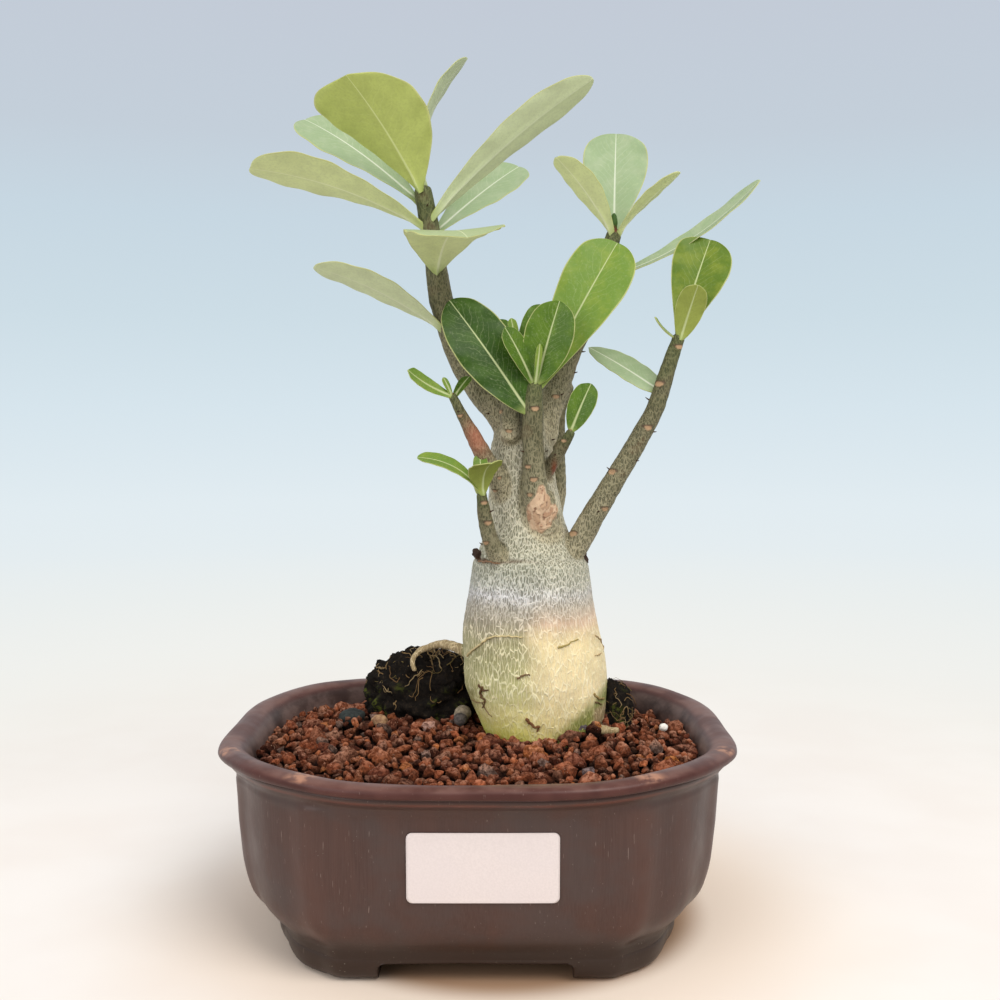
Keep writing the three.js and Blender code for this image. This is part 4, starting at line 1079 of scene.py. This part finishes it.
# Base and tip, full width, the way the upper face looks, how far the midrib bows that way, how far
# the halves fold up, the outline, and the look.
LEAVES = {
    "left_1": ((-16.9, 17.6, 208.6), (-36.9, 1, 238.3), 29.5, (0.25, 0.85, 0.45), 2.4, 0.08, BROAD, "young"),
    "left_2": ((-17.6, 21, 206), (-55, 40, 235.4), 20.5, (0.35, -0.75, 0.55), 2.2, 0.12, SPOON, "pale"),
    "left_3": ((-15.8, 19, 198.6), (-65.2, 4, 213), 20.5, (0.25, 0.35, 0.9), 3.2, 0.14, BLUNT, "milky"),
    "left_4": ((-16.4, 21, 209.6), (-3.4, 27, 250.6), 11, (-0.98, 0.05, 0.25), 5.4, 0.1, LONG, "pale"),
    "left_5": ((-14.2, 18.4, 200.8), (33, 2, 237.6), 13, (-0.45, 0.6, 0.65), 3, 0.16, LONG, "beige"),
    "left_6": ((-13.6, 21.6, 196.6), (12.6, 43, 221.4), 17, (-0.2, -0.8, 0.55), 1.2, 0.12, SPOON, "pale"),
    "left_7": ((-12.6, 17.4, 184.6), (-2.2, -20, 189.6), 28, (-0.14, 0.15, 1), 6, 0.06, ROUND, "milky"),
    "left_8": ((-10, 17.6, 167.6), (-47.1, 4, 184.9), 14, (0.3, 0.45, 0.85), 2.4, 0.12, LONG, "beige"),
    "middle_1": ((41.3, 27, 197.6), (23.4, 14, 218.2), 11.5, (0.65, 0.6, 0.45), 1.6, 0.16, LONG, "milky"),
    "middle_2": ((41.9, 29.6, 197.4), (43.3, 40, 231), 20.5, (0, -0.95, 0.3), -1.6, 0.08, SPOON, "pale"),
    "middle_3": ((42.4, 27.4, 197.4), (60.4, 18, 214.6), 9, (-0.6, 0.3, 0.75), 1, 0.14, LONG, "milky"),
    "middle_4": ((37.4, 27, 184), (84.7, 20, 212.7), 12, (-0.3, -0.35, 0.88), -4.4, 0.14, LONG, "pale"),
    "front_1": ((15.2, 3, 142.4), (-8, 4.4, 175.2), 17.8, (0.15, -0.95, 0.25), 1.4, 0.08, OVAL, "dark"),
    "front_2": ((17, 3.8, 148.4), (41.4, 14, 193.1), 20, (-0.1, -0.95, 0.3), 2.2, 0.1, SPOON, "bright"),
    "front_3": ((17.2, 3.2, 151), (23.6, -1, 174.5), 14.4, (-0.15, -0.95, 0.2), 1, 0.12, OVAL, "glossy"),
    "front_4": ((16.1, 3.2, 151.2), (8, -0.6, 167), 6.6, (0.3, -0.9, 0.3), 0.8, 0.2, LONG, "glossy"),
    "front_5": ((16.8, 2.4, 151), (18, -1.4, 162.4), 2, (0.1, -0.9, 0.2), 0.4, 0.1, LONG, "bright"),
    "inner_1": ((12, 8.2, 160.4), (18.9, 11, 174.6), 6, (-0.2, -0.85, 0.3), 0.6, 0.2, LONG, "glossy"),
    "inner_2": ((11.2, 8.6, 160.4), (6.4, 12.4, 170.4), 4.6, (0.2, -0.8, 0.4), 0.5, 0.16, LONG, "glossy"),
    "inner_3": ((11.6, 7.4, 160.4), (9.8, 6.2, 170.3), 3, (0.1, -0.9, 0.2), 0.5, 0.2, LONG, "bright"),
    "side_1": ((-7.4, 3.6, 147.6), (-19.6, -3, 154.8), 4.8, (0.3, -0.8, 0.5), -1.2, 0.2, LONG, "bright"),
    "side_2": ((-7.3, 3.7, 147.4), (-9.9, 3, 153), 2, (0.4, -0.8, 0.3), 0.2, 0.1, LONG, "bright"),
    "side_3": ((-6.9, 4.5, 147), (-2.4, 9.4, 153.4), 3.6, (-0.3, -0.8, 0.4), 0.4, 0.16, LONG, "glossy"),
    "low_1": ((0.8, 2, 119.8), (-17, -4, 130), 6.4, (0.2, -0.55, 0.8), 3.2, 0.16, LONG, "bright"),
    "low_2": ((1.5, 1.4, 119), (4.2, -7, 128.6), 10.2, (-0.4, 0.6, 0.75), 2.4, 0.1, ROUND, "fresh"),
    "low_3": ((1.4, 2.6, 119.2), (0.7, 6, 130.8), 4.4, (0, -0.9, 0.3), 0.5, 0.16, LONG, "fresh"),
    "twig_1": ((27.3, 4.2, 137.4), (33, 3, 151.2), 8, (-0.2, -0.95, 0.2), 0.8, 0.14, OVAL, "glossy"),
    "right_1": ((59.3, 12.8, 164.4), (70, 20, 194.9), 18, (-0.2, -0.95, 0.3), 1.4, 0.1, SPOON, "mottled"),
    "right_2": ((59.9, 11.2, 164.4), (63.8, 4, 179.6), 8.6, (0.1, 0.9, 0.2), 1, 0.14, OVAL, "fresh"),
    "right_3": ((59.2, 11.8, 164.6), (52.1, 9, 170.9), 2, (0.3, -0.5, 0.8), -0.8, 0.1, LONG, "fresh"),
    "right_4": ((54.6, 12.8, 149), (34.3, 31, 163.4), 10.4, (-0.1, -0.5, 0.85), 0.6, 0.12, POINTED, "pale"),
}

# How much less blunt one side of these blades is than the other.
SKEWS = {"left_1": 0.7, "right_1": -0.2}


# The blades' looks: the colours of the upper face, the lower one, the midrib and the patches, then
# the roughness, and how patchy and how dusty the upper face is.
DARK_RIB = (206, 214, 158)
LOOKS = {
    "young": ((166, 178, 104), (198, 206, 118), (224, 228, 164), (178, 184, 96), 0.5, 0.4, 0.2),
    "milky": ((182, 196, 150), (226, 232, 172), (238, 240, 204), (190, 200, 156), 0.5, 0.3, 0.4),
    "pale": ((168, 188, 146), (208, 216, 180), (236, 240, 220), (190, 202, 168), 0.5, 0.5, 0.5),
    "beige": ((172, 186, 140), (222, 230, 186), (232, 236, 204), (196, 192, 156), 0.5, 0.4, 0.2),
    "dark": ((52, 82, 20), (160, 174, 110), DARK_RIB, (76, 108, 34), 0.36, 0.6, 0.2),
    "glossy": ((80, 112, 34), (164, 180, 108), DARK_RIB, (112, 142, 46), 0.34, 0.6, 0.2),
    "bright": ((120, 150, 62), (170, 186, 104), DARK_RIB, (160, 174, 72), 0.4, 0.4, 0.2),
    "fresh": ((112, 142, 54), (164, 174, 84), DARK_RIB, (158, 166, 68), 0.4, 0.4, 0.2),
    "mottled": ((102, 128, 44), (160, 172, 96), DARK_RIB, (148, 160, 60), 0.38, 0.55, 0.1),
}
LARGE_BLADE = 8  # the width from which a blade has the finer grid


def blade(leaf, skew, rows, columns):
    """Vertices and faces of a closed blade, with u, v, face and half width at each vertex."""
    base, tip, width, up, bow, fold, (slender, blunt), _ = leaf
    base, tip, up = (np.array(v, float) for v in (base, tip, up))
    length = np.linalg.norm(tip - base)
    along = (tip - base) / length
    normal = up - along * up.dot(along)
    normal /= np.linalg.norm(normal)
    side = np.cross(along, normal)
    u = 0.5 - 0.5 * np.cos(np.linspace(0, math.pi, rows))
    v = np.sin(np.linspace(-math.pi / 2, math.pi / 2, columns))
    u, v = [g.ravel() for g in np.meshgrid(u, v, indexing="ij")]
    blunt = blunt * (1 - skew * v)
    peak = slender / (slender + blunt)
    most = peak ** slender * (1 - peak) ** blunt
    outline = u ** slender * (1 - u) ** blunt / most
    petiole = min(0.75, width / 6)
    half = petiole * (1 - smoothstep(0.9, 1, u) * 0.9) + (width / 2 - petiole) * outline
    wave = 0.02 * width * np.sin(9 * u + 2 * v + length) * v * v * outline
    crimp = 0.012 * width * np.sin(31 * u + 5 * v + 2 * length) * np.abs(v) ** 3 * outline
    lift = fold * width * 0.5 * outline * np.abs(v) ** 1.4
    slope = 4 * bow * (1 - 2 * u) / length
    out = normal - slope[:, None] * along
    out /= np.linalg.norm(out, axis=1)[:, None]
    stalk = smoothstep(0.16, 0.0, u)
    bulge = np.sqrt(np.clip(1 - v * v, 0, 1))
    groove = bell(v * half / 0.5) * (1 - stalk) * min(width / 12, 1)
    rib = bell(v * half / 0.65) * (1.25 - u) * 0.55 * min(width / 12, 1)
    middle = (base + along * (length * u)[:, None] + normal * (4 * bow * u * (1 - u))[:, None]
              + side * (half * v)[:, None] + out * (lift + wave + crimp)[:, None])
    thick = 0.05 + 0.15 * bulge ** 0.5
    top = middle + out * (thick + 0.45 * petiole * stalk * bulge - 0.16 * groove)[:, None]
    low = middle - out * (thick + 0.9 * petiole * stalk * bulge + rib * bulge)[:, None]
    floats = {"u": np.tile(u, 2), "v": np.tile(v, 2), "half_width": np.tile(half, 2),
              "face": np.repeat([1.0, 0.0], rows * columns)}
    return np.vstack([top, low]), sheet_faces(rows, columns), floats


def build_leaves():
    looks = {name: leaf_material("leaf_" + name, *[rgb(*color) for color in look[:4]], *look[4:])
             for name, look in LOOKS.items()}
    for place, leaf in LEAVES.items():
        grid = (56, 30) if leaf[2] >= LARGE_BLADE else (30, 16)
        vertices, faces, floats = blade(leaf, SKEWS.get(place, 0), *grid)
        piece = mesh_piece(f"leaf_{place}_blade", vertices, faces, looks[leaf[7]], floats=floats)
        finish_piece(piece, "leaf", "leaf_" + place)


# ---- The soil ----
# Single stones among the crumbs: x, y, radius and colour.
ODD_GRAINS = [
    (30.9, 4.3, 1.6, (140, 128, 132)), (29.7, -40, 2.4, (150, 136, 138)), (35.6, 4.3, 1.5, (198, 128, 70)),
    (52.9, -26, 2.0, (196, 124, 66)), (-11.6, 31.5, 2.2, (150, 70, 48)), (-16, 33, 1.8, (140, 64, 44)),
    (-9, 28, 1.9, (156, 78, 54)), (-15.1, 16.3, 2.0, (190, 150, 134)),
]


STEM_FOOT = (19.2, 19)
CRUMB_SIZES, CRUMB_SHARES = [1.15, 1.8, 2.6, 3.3], [0.3, 0.3, 0.26, 0.14]
CRUMB_COUNT, TRIES, SHAPES, BREAKS = 3400, 14, 12, 11
SOIL_DEPTH = 6.0  # the thickness of the layer of separate crumbs
PACKING = 0.95  # the gap between two crumbs' middles, over the sum of their radii
PROUDEST = 1.3  # how far a crumb may stand over soil_top, measured at half its radius


def soil_level(x, y):
    return 46.6 - 0.045 * (y - POT_Y) + 1.6 * np.exp(-((x - 18) ** 2 + (y - 19) ** 2) / 34 ** 2)


def off_stem(x, y, half_length, half_depth):
    return np.hypot((x - STEM_FOOT[0]) / half_length, (y - STEM_FOOT[1]) / half_depth)


def soil_top(x, y):
    """The level that the crumbs' tops keep to: lower at the stem's front left, banked up at its right."""
    ring = bell((np.maximum(off_stem(x, y, 18.6, 17.8), 1) - 1) / 0.3)
    bank = 3.2 * smoothstep(24, 36, x) - 2.0 * smoothstep(32, 20, x)
    heap = 2.4 * np.exp(-((x + 37) / 14) ** 2 - ((y - 34) / 12) ** 2) + 1.0 * smoothstep(-30, -55, x)
    return soil_level(x, y) + ring * bank + heap


def grain_shapes(count, level):
    """Crumb shapes on the unit ball: angular, with broken faces and a few pits."""
    vertices, faces = ico(level)
    shapes = []
    for k in range(count):
        shape = vertices * (1 + 0.32 * field(vertices, 0.8, 7.3 * k + 1, 3))[:, None]
        for _ in range(BREAKS):
            away = RNG.normal(size=3)
            away /= np.linalg.norm(away)
            over = np.clip(shape @ away - RNG.uniform(0.42, 0.78), 0, None)
            shape = shape - 0.96 * over[:, None] * away
        pits = field(vertices, 0.28, 3.1 * k + 40, 2)
        dents = smoothstep(0.1, 0.5, field(vertices, 0.42, 5.3 * k + 80))
        shape = shape * (1 + 0.12 * pits - 0.14 * dents)[:, None]
        shapes.append(shape * RNG.uniform(0.8, 1.22, 3) * 1.08)
    return shapes, np.array(faces)


def random_turn():
    q = RNG.normal(size=4)
    w, x, y, z = q / np.linalg.norm(q)
    return np.array([[1 - 2 * (y * y + z * z), 2 * (x * y - z * w), 2 * (x * z + y * w)],
                     [2 * (x * y + z * w), 1 - 2 * (x * x + z * z), 2 * (y * z - x * w)],
                     [2 * (x * z - y * w), 2 * (y * z + x * w), 1 - 2 * (x * x + y * y)]])


def rain(count):
    """Grains dropped one by one, each on the ones that it touches: [x, y, z, radius] each."""
    sizes = RNG.choice(CRUMB_SIZES, p=CRUMB_SHARES, size=count) * RNG.uniform(0.88, 1.14, count)
    placed, fixed = np.empty((count + len(ODD_GRAINS), 4)), 0

    def rest(x, y, radius):
        others = placed[:fixed]
        room = (PACKING * (radius + others[:, 3])) ** 2 - (others[:, 0] - x) ** 2 - (others[:, 1] - y) ** 2
        touching = room > 0
        floor = soil_top(x, y) - SOIL_DEPTH + radius
        if not touching.any():
            return floor
        return max(floor, float((others[touching, 2] + np.sqrt(room[touching])).max()))

    for radius in sizes:
        spots = np.stack([RNG.uniform(-63, 64, TRIES), RNG.uniform(-54, 58, TRIES)], 1)
        share = rim_share(spots[:, 0], spots[:, 1], 62.6 - 0.8 * radius, 55.4 - 0.8 * radius)
        clear = off_stem(spots[:, 0], spots[:, 1], 18, 17) > 1
        spots = spots[(share < 1) & clear]
        if not len(spots):
            continue
        heights = np.array([rest(x, y, radius) for x, y in spots])
        proud = heights + 0.5 * radius - soil_top(spots[:, 0], spots[:, 1])
        best = int(np.argmin(proud))
        if proud[best] < PROUDEST:
            placed[fixed] = (*spots[best], heights[best], radius)
            fixed += 1
    for x, y, radius, _ in ODD_GRAINS:
        placed[fixed] = (x, y, min(rest(x, y, radius), soil_top(x, y) + 0.6), radius)
        fixed += 1
    return placed[:fixed]


GRAIN_TINTS = [(152, 84, 54), (130, 70, 44), (108, 56, 38), (170, 98, 62), (88, 47, 33), (142, 94, 72),
               (120, 98, 88), (186, 112, 64)]
GRAIN_ODDS = [0.24, 0.2, 0.18, 0.11, 0.12, 0.08, 0.03, 0.04]


def build_soil():
    grains = rain(CRUMB_COUNT)
    shapes = {level: grain_shapes(SHAPES, level) for level in (2, 3)}
    parts, tints, proud, dusty_lit_crown = [], [], [], []
    for index, (x, y, z, radius) in enumerate(grains):
        forms, faces = shapes[3 if radius > 1.3 else 2]
        shape = forms[RNG.integers(len(forms))] @ random_turn().T
        vertices = np.array([x, y, z]) + shape * radius * 1.05
        parts.append((vertices, faces.tolist()))
        odd = index - (len(grains) - len(ODD_GRAINS))
        if odd >= 0:
            tint = ODD_GRAINS[odd][3]
        else:
            tint = GRAIN_TINTS[RNG.choice(len(GRAIN_TINTS), p=GRAIN_ODDS)]
        tints.append(np.tile(np.array(rgb(*tint)) * RNG.uniform(0.65, 1.55), (len(shape), 1)))
        # how high each point lies under the crumbs' tops; the material paints shade where it is low
        proud.append(smoothstep(-2.1, 1.0, vertices[:, 2] - soil_top(vertices[:, 0], vertices[:, 1])))
        # each grain's upward side, for its dust and painted highlight
        dusty_lit_crown.append(smoothstep(0.25, 0.85, shape[:, 2]) * RNG.uniform(0.2, 1))
    bed = soil_bed()
    parts.append(bed)
    # the bed under the crumbs is tinted near black, painted shade of the gaps between them
    tints.append(np.tile(rgb(40, 24, 18), (len(bed[0]), 1)))
    proud.append(np.zeros(len(bed[0])))
    dusty_lit_crown.append(np.zeros(len(bed[0])))
    vertices, faces = joined(parts)
    floats = {"proud": np.concatenate(proud), "dusty_lit_crown": np.concatenate(dusty_lit_crown)}
    piece = mesh_piece("soil_crumbs", vertices, faces, soil_material(), False, floats,
                       {"tint": np.vstack(tints)})
    finish_piece(piece, "red_clay_crumb", "soil")


def soil_bed():
    """The body of soil under the crumbs, from the pot's floor up."""
    walls = [(43.7, 39.7, 8.0), (49.7, 44.7, 9.0), (56.7, 50.1, 14), (59.7, 52.5, 25), (61, 53.8, 40)]
    plan, corner = PLAN[::3], CORNER[::3]
    rings = [pot_ring(l, d, z, 0.03, plan, corner) for l, d, z in walls]
    for share in (1, 0.85, 0.6, 0.3, 0.1):
        ring = pot_ring(61.6 * share, 54.4 * share, 0, 0.01, plan, corner)
        ring[:, 2] = soil_level(ring[:, 0], ring[:, 1]) - 3.4
        rings.append(ring)
    return loft(rings)


# ---- Peat, roots and stones ----
def wander(start, heading, steps, stride, curl, radius, pull):
    """A curling thread: each step turns a little at random, and pull draws it back to the surface."""
    rows, place, way = [], np.array(start, float), np.array(heading, float)
    way /= np.linalg.norm(way)
    for k in range(steps):
        rows.append((*place, radius * (1 - 0.5 * k / steps)))
        way = way + curl * RNG.normal(size=3)
        way /= np.linalg.norm(way)
        place = pull(place + way * stride)
    return rows


def on_ellipsoid(centre, radii, proud):
    centre, radii = np.array(centre, float), np.array(radii, float)

    def pull(place):
        away = (place - centre) / radii
        away /= max(np.linalg.norm(away), 1e-6)
        target = centre + away * (radii + proud * RNG.uniform(0.3, 1.3))
        return 0.55 * target + 0.45 * place

    return pull


def threads_on(centre, radii, count, upward, radius, proud=0.6):
    parts = []
    pull = on_ellipsoid(centre, radii, proud)
    for _ in range(count):
        away = RNG.normal(size=3)
        away[2] = abs(away[2]) * upward
        away[1] -= 0.6
        away /= np.linalg.norm(away)
        start = np.array(centre) + away * np.array(radii)
        rows = wander(start, RNG.normal(size=3), RNG.integers(6, 15), RNG.uniform(0.7, 1.3), 0.5,
                      radius * RNG.uniform(0.6, 1.3), pull)
        parts.append(tube(rows, 6, 4))
    return parts


THREAD_TINTS = [(166, 138, 96), (146, 116, 76), (112, 104, 58), (104, 76, 50), (186, 164, 122)]


def peat_piece(name, node, lumps, extra_threads, seed):
    parts, fibre, moss, tints = [], [], [], []
    for centre, radii, level in lumps:
        vertices, faces = blob(centre, radii, level, 0.2, 4.2, seed, 4)
        grit = field(vertices, 0.9, seed + 3)
        away = vertices - centre
        vertices = vertices + away / np.linalg.norm(away, axis=1)[:, None] * (0.45 * grit)[:, None]
        parts.append((vertices, faces))
        fibre.append(np.zeros(len(vertices)))
        moss.append(smoothstep(0.1, 0.5, field(vertices, 5, seed + 9)) * smoothstep(60, 54, vertices[:, 2]))
        tints.append(np.tile(rgb(120, 100, 70), (len(vertices), 1)))
    for vertices, faces in extra_threads:
        parts.append((vertices, faces))
        fibre.append(np.ones(len(vertices)))
        moss.append(np.zeros(len(vertices)))
        tints.append(np.tile(rgb(*THREAD_TINTS[RNG.integers(len(THREAD_TINTS))]), (len(vertices), 1)))
    vertices, faces = joined(parts)
    piece = mesh_piece(name, vertices, faces, peat_material(), colors={"tint": np.vstack(tints)},
                       floats={"fibre": np.concatenate(fibre), "moss": np.concatenate(moss)})
    finish_piece(piece, "black_peat", node)


PEAT_LEFT = ((-17.5, 37.6, 51.5), (19, 12, 15.2))
PEAT_SHOULDER = ((-9, 33, 60.5), (6.6, 7, 7))
PEAT_RIGHT = ((42, 20, 50), (5.8, 6.4, 10.5))


def build_peat():
    threads = threads_on(*PEAT_LEFT, 60, 2.0, 0.16) + threads_on(*PEAT_SHOULDER, 26, 1.6, 0.16)
    peat_piece("peat_left", "peat_clump_left", [(*PEAT_LEFT, 6), (*PEAT_SHOULDER, 5)], threads, 3.0)
    threads = threads_on(*PEAT_RIGHT, 30, 0.6, 0.13, 0.4)
    peat_piece("peat_right", "peat_clump_right", [(*PEAT_RIGHT, 5)], threads, 17.0)


STONES = {
    "pebble_round": ((-5.2, 27, 48.8), (2.7, 2.4, 2.3), "tan_stone", (181, 164, 137), (132, 118, 98)),
    "pebble_dark": ((-5.6, 20, 48.4), (2.2, 2, 1.9), "dark_stone", (104, 94, 88), (62, 56, 52)),
    "pebble_tan": ((-30.8, 21, 47.6), (2.6, 2.2, 1.9), "tan_stone", (170, 134, 96), (124, 88, 60)),
    "pebble_mossy": ((-40, 26, 47.4), (4.2, 3.4, 2.9), "dark_stone", (38, 46, 42), (16, 19, 18)),
    "bead_white": ((56.4, 14, 47.4), (1.3, 1.3, 1.3), "white_bead", (240, 236, 226), (214, 206, 194)),
}


def build_stones():
    for index, (name, (centre, radii, slot, light, dark)) in enumerate(STONES.items()):
        vertices, faces = blob(centre, radii, 4, 0.16, 2.4, 70.0 + 5 * index)
        material = stone_material(name + "_stone", rgb(*light), rgb(*dark))
        finish_piece(mesh_piece(name + "_stone", vertices, faces, material), slot, name)


# ---- Stage and light ----
# Colours of the sweep by the photograph's row: where a line of sight meets it sets the place.
BACKDROP = [
    (770, (248, 244, 240)), (680, (243, 242, 237)), (590, (235, 239, 238)), (500, (226, 236, 241)),
    (410, (215, 229, 237)), (320, (205, 221, 230)), (230, (199, 215, 226)), (140, (196, 207, 218)),
    (0, (195, 203, 215)),
]
FLOOR_RADII = (0.001, 0.12, 0.2, 0.3, 0.4, 0.5, 0.65, 0.8, 1.0)
SWEEP_RADIUS = 1.5
SWEEP_SIDES = 128


def sweep_profile():
    """Radius and height of the sweep in metres, from the floor's middle outwards."""
    profile = [(r, 0.0) for r in FLOOR_RADII]
    arc = np.linspace(0.08, math.pi / 2, 24)
    profile += [(1.0 + 0.5 * math.sin(a), 0.5 - 0.5 * math.cos(a)) for a in arc]
    return np.array(profile + [(SWEEP_RADIUS, z) for z in (0.7, 0.9, 1.6)])


def seen_run(py, profile, run):
    """How far along the sweep, from the middle of the floor, a row of the photograph sees it."""
    eye, way = metres(CAMERA), np.array(sight(500, py))
    for t in np.arange(0.05, 3.2, 0.002):
        point = eye + way * t
        place, height = abs(point[1]), point[2]
        if height <= np.interp(place, profile[:, 0], profile[:, 1]) + 1e-4 or place >= SWEEP_RADIUS:
            break
    if place >= SWEEP_RADIUS:
        return float(np.interp(height, profile[-4:, 1], run[-4:]))
    return float(np.interp(place, profile[:, 0], run))


def sweep_part(name, rows, run, material):
    angle = np.linspace(0, 2 * math.pi, SWEEP_SIDES, endpoint=False)
    rings = [np.stack([r * np.cos(angle), r * np.sin(angle), np.full(SWEEP_SIDES, z)], 1) for r, z in rows]
    vertices, faces = loft(rings, False)
    mesh = bpy.data.meshes.new(name)
    mesh.from_pydata(vertices.tolist(), [], faces)
    mesh.polygons.foreach_set("use_smooth", [True] * len(mesh.polygons))
    runs = np.repeat(run, SWEEP_SIDES).astype(np.float32)
    mesh.attributes.new("run", "FLOAT", "POINT").data.foreach_set("value", runs)
    mesh.materials.append(material)
    part = linked(name, mesh)
    return part


def build_stage():
    """A pale bowl-shaped sweep round the object, its colour running from a cream floor to pale blue. It
    partly glows with that colour, painted light, and the floor is darkened under the pot with painted
    shadow.
    """
    profile = sweep_profile()
    run = np.r_[0, np.cumsum(np.hypot(*np.diff(profile, axis=0).T))]
    s = Shade("sweep", 0.9, 0.1)
    stops = sorted((seen_run(py, profile, run), rgb(*color)) for py, color in BACKDROP)
    first, last = stops[0][0], stops[-1][0]
    place = s.node("MapRange", {"Value": s.attribute("run"), "From Min": first, "From Max": last}).outputs[0]
    wall = s.ramp(place, [((at - first) / (last - first), color) for at, color in stops])
    # painted light: the sweep glows with the backdrop's colour ramp, half-way near the pot and fully far out
    glow = s.node("Emission", {"Color": wall, "Strength": 1.0})
    near = s.span(s.attribute("run"), 0.07, 0.14, 0, 0.5)
    far = s.span(s.attribute("run"), 0.16, 0.45, 0, 0.5)
    s.mix_shader(s.math("ADD", near, far), glow)
    grain = s.noise(60, 3.0)
    floor = s.mix(s.span(grain, 0.3, 0.7), rgb(240, 229, 219), rgb(246, 238, 230))
    # painted shadow: the floor under and round the pot is darker and browner, deepest beneath it
    floor_shadow = s.mix(s.span(s.attribute("run"), 0.05, 0.062), rgb(170, 136, 108), rgb(240, 222, 204))
    s.set(Base_Color=s.mix(s.span(s.attribute("run"), 0.06, 0.13), floor_shadow, floor))
    split = len(FLOOR_RADII)
    sweep_part("floor", profile[:split], run[:split], s.material)
    backdrop = sweep_part("backdrop", profile[split - 1:], run[split - 1:], s.material)
    backdrop.visible_diffuse = backdrop.visible_glossy = False


def lamp(name, place, aim, size, power, color):
    data = bpy.data.lights.new(name, "AREA")
    data.shape, data.size, data.energy, data.color = "DISK", size, power, color
    made = linked(name, data)
    made.location = place
    made.rotation_euler = (Vector(aim) - Vector(place)).to_track_quat("-Z", "Y").to_euler()


def light_scene():
    world = bpy.data.worlds.new("studio")
    world.use_nodes = True
    background = world.node_tree.nodes["Background"]
    background.inputs["Color"].default_value = (0.95, 0.97, 1.0, 1)
    background.inputs["Strength"].default_value = 0.75
    bpy.context.scene.world = world
    lamp("key", (0.42, -0.6, 0.85), (0, 0, 0.1), 0.7, 7.5, (1.0, 0.98, 0.95))
    lamp("fill", (-0.6, -0.7, 0.35), (0, 0, 0.12), 0.7, 3.2, (0.98, 0.98, 1.0))
    bpy.context.scene.view_settings.view_transform = "Standard"


# ---- Assembly ----
place_camera()
build_stage()
light_scene()
build_pot()
build_label()
build_stem()
build_leaves()
build_soil()
build_peat()
build_stones()
for node in ("drain_mesh_left", "drain_mesh_right"):
    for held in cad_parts[node].material_slots:
        held.material = net_material()
